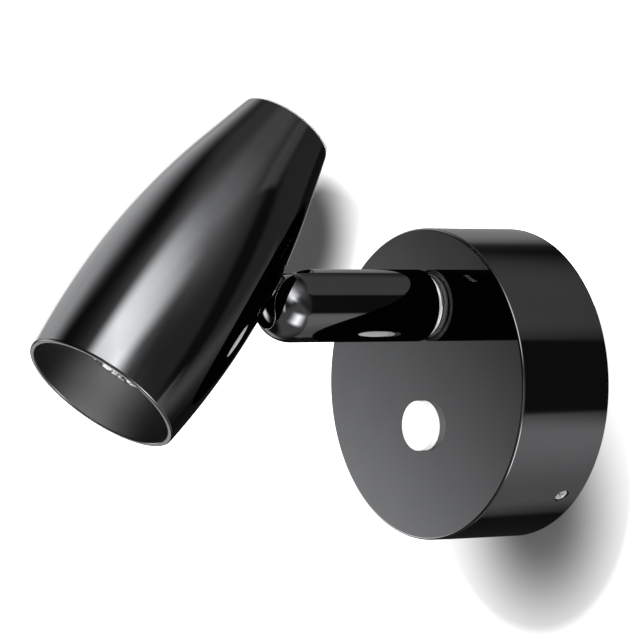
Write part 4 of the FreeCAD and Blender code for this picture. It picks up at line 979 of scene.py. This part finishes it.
def wall(name, low, high, shadow):
    """A sheet of white wall. Away from its shadow, and where the sheets meet, it simply glows white."""
    middle, inner, outer, least = shadow
    paint, tree = glowing(name + "_paint")
    place = own_place(tree)
    away = vector_maths(tree, "DISTANCE", place, middle)
    lift = remap(tree, away, inner, outer, least, interpolation_type="SMOOTHSTEP")
    height = node(tree, "ShaderNodeSeparateXYZ", {0: place}).outputs["Z"]
    from_seam = maths(tree, "ABSOLUTE", maths(tree, "SUBTRACT", height, ARM_HEIGHT * MM))
    seam = remap(tree, from_seam, SEAM_START, SEAM_STOP, 1.0, 0.0, interpolation_type="SMOOTHSTEP")
    white = maths(tree, "MULTIPLY", maths(tree, "MAXIMUM", lift, seam), seen_rays(tree))
    plaster = remap(tree, noise(tree, place, 30.0, 4.0), first=0.88, last=0.92)
    both = node(tree, "ShaderNodeAddShader", {
        0: node(tree, "ShaderNodeBsdfDiffuse", {"Color": plaster}).outputs[0],
        1: node(tree, "ShaderNodeEmission", {"Strength": white}).outputs[0]})
    sided = node(tree, "ShaderNodeMixShader", {
        0: node(tree, "ShaderNodeNewGeometry").outputs["Backfacing"], 1: both.outputs[0],
        2: node(tree, "ShaderNodeBsdfTransparent").outputs[0]})
    node(tree, "ShaderNodeOutputMaterial", {"Surface": sided.outputs[0]})
    mesh = bpy.data.meshes.new(name)
    mesh.from_pydata([(side * WALL_HALF, WALL_BACK, up)
                      for side, up in ((-1, low), (1, low), (1, high), (-1, high))], [], [(0, 1, 2, 3)])
    mesh.materials.append(paint)
    sheet = in_scene(name, mesh)
    sheet.visible_glossy = False
    return sheet


def link_lamp(holder, part, things, state="INCLUDE"):
    """The things that a lamp lights, passes by, or throws the shadow of."""
    group = bpy.data.collections.new(holder.name + "_" + part)
    for thing in things:
        group.objects.link(thing)
    for entry in group.collection_objects:
        entry.light_linking.link_state = state
    return group


def new_lamp(name, kind, power, target, way, distance=0.9):
    """A lamp that faces its target. Polished metal sees the tent's windows in its place."""
    lamp = bpy.data.lights.new(name, kind)
    lamp.energy = power
    holder = in_scene(name, lamp)
    holder.location = target + way * distance
    holder.rotation_euler = way.to_track_quat("Z", "Y").to_euler()
    holder.visible_glossy = False
    return lamp, holder


def soft_lamp(name, azimuth, elevation, size, power, sheets):
    """A soft square lamp for all but the wall."""
    lamp, holder = new_lamp(name, "AREA", power, Vector((0, -0.04, 0)), heading(azimuth, elevation))
    lamp.size = size
    holder.light_linking.receiver_collection = link_lamp(holder, "passes_by", sheets, "EXCLUDE")


def shadow_lamp(name, shadow, slope, radius, power, sheet, body):
    """A lamp for one sheet of the wall alone, which throws the shadow of one body's pieces."""
    lamp, holder = new_lamp(name, "SPOT", power, shadow[0], Vector(slope).normalized())
    lamp.shadow_soft_size, lamp.spot_size, lamp.spot_blend = radius, math.radians(30), 0.6
    pieces = [piece for piece in bpy.data.objects if piece.get("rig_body") == body and piece.type == "MESH"]
    holder.light_linking.receiver_collection = link_lamp(holder, "lights", [sheet])
    holder.light_linking.blocker_collection = link_lamp(holder, "shadows", pieces)


studio_tent()
upper_wall = wall("wall_upper", ARM_HEIGHT * MM, WALL_HALF, HEAD_SHADOW)
lower_wall = wall("wall_lower", -WALL_HALF, ARM_HEIGHT * MM, BASE_SHADOW)
for name, azimuth, elevation, size, power in (
        ("lamp_right", 55, 35, 0.5, 11.0), ("lamp_left", -50, 25, 0.6, 7.0),
        ("lamp_below", 40, -45, 0.5, 9.0), ("lamp_behind", 160, 40, 0.6, 6.0)):
    soft_lamp(name, azimuth, elevation, size, power, (upper_wall, lower_wall))
shadow_lamp("lamp_for_head_shadow", HEAD_SHADOW, (1.03, -1, 0.2), 0.05, 70, upper_wall, "head")
shadow_lamp("lamp_for_base_shadow", BASE_SHADOW, (-0.35, -1, 0.95), 0.085, 54, lower_wall, "base")

# The room is white where it is seen, and gives little light.
world = bpy.data.worlds.new("studio")
bpy.context.scene.world = world
world.use_nodes = True
sky = world.node_tree
sky.nodes.clear()
room = node(sky, "ShaderNodeBackground", {
    "Color": (1, 1, 1, 1), "Strength": remap(sky, seen_rays(sky), first=0.1)})
node(sky, "ShaderNodeOutputWorld", {"Surface": room.outputs[0]})

# The camera stands to the +X side, level with the light, as the photograph was taken.
CAMERA_SIDE, CAMERA_UP, CAMERA_DISTANCE, MOVED_LEFT, MOVED_UP = 53.25, 0.51, 0.750, 0.01993, 0.01230
view = heading(CAMERA_SIDE, CAMERA_UP)
across = Vector((math.cos(math.radians(CAMERA_SIDE)), math.sin(math.radians(CAMERA_SIDE)), 0))
photo_lens = bpy.data.cameras.new("camera")
photo_lens.sensor_width, photo_lens.lens, photo_lens.clip_start = 36.0, 219.5, 0.01
camera = in_scene("camera", photo_lens)
camera.location = (Vector((0, -BASE_DEPTH * MM, 0)) + view * CAMERA_DISTANCE - across * MOVED_LEFT
                   + view.cross(across) * MOVED_UP)
camera.rotation_euler = view.to_track_quat("Z", "Y").to_euler()
bpy.context.scene.camera = camera
bpy.context.scene.view_settings.view_transform = "Standard"
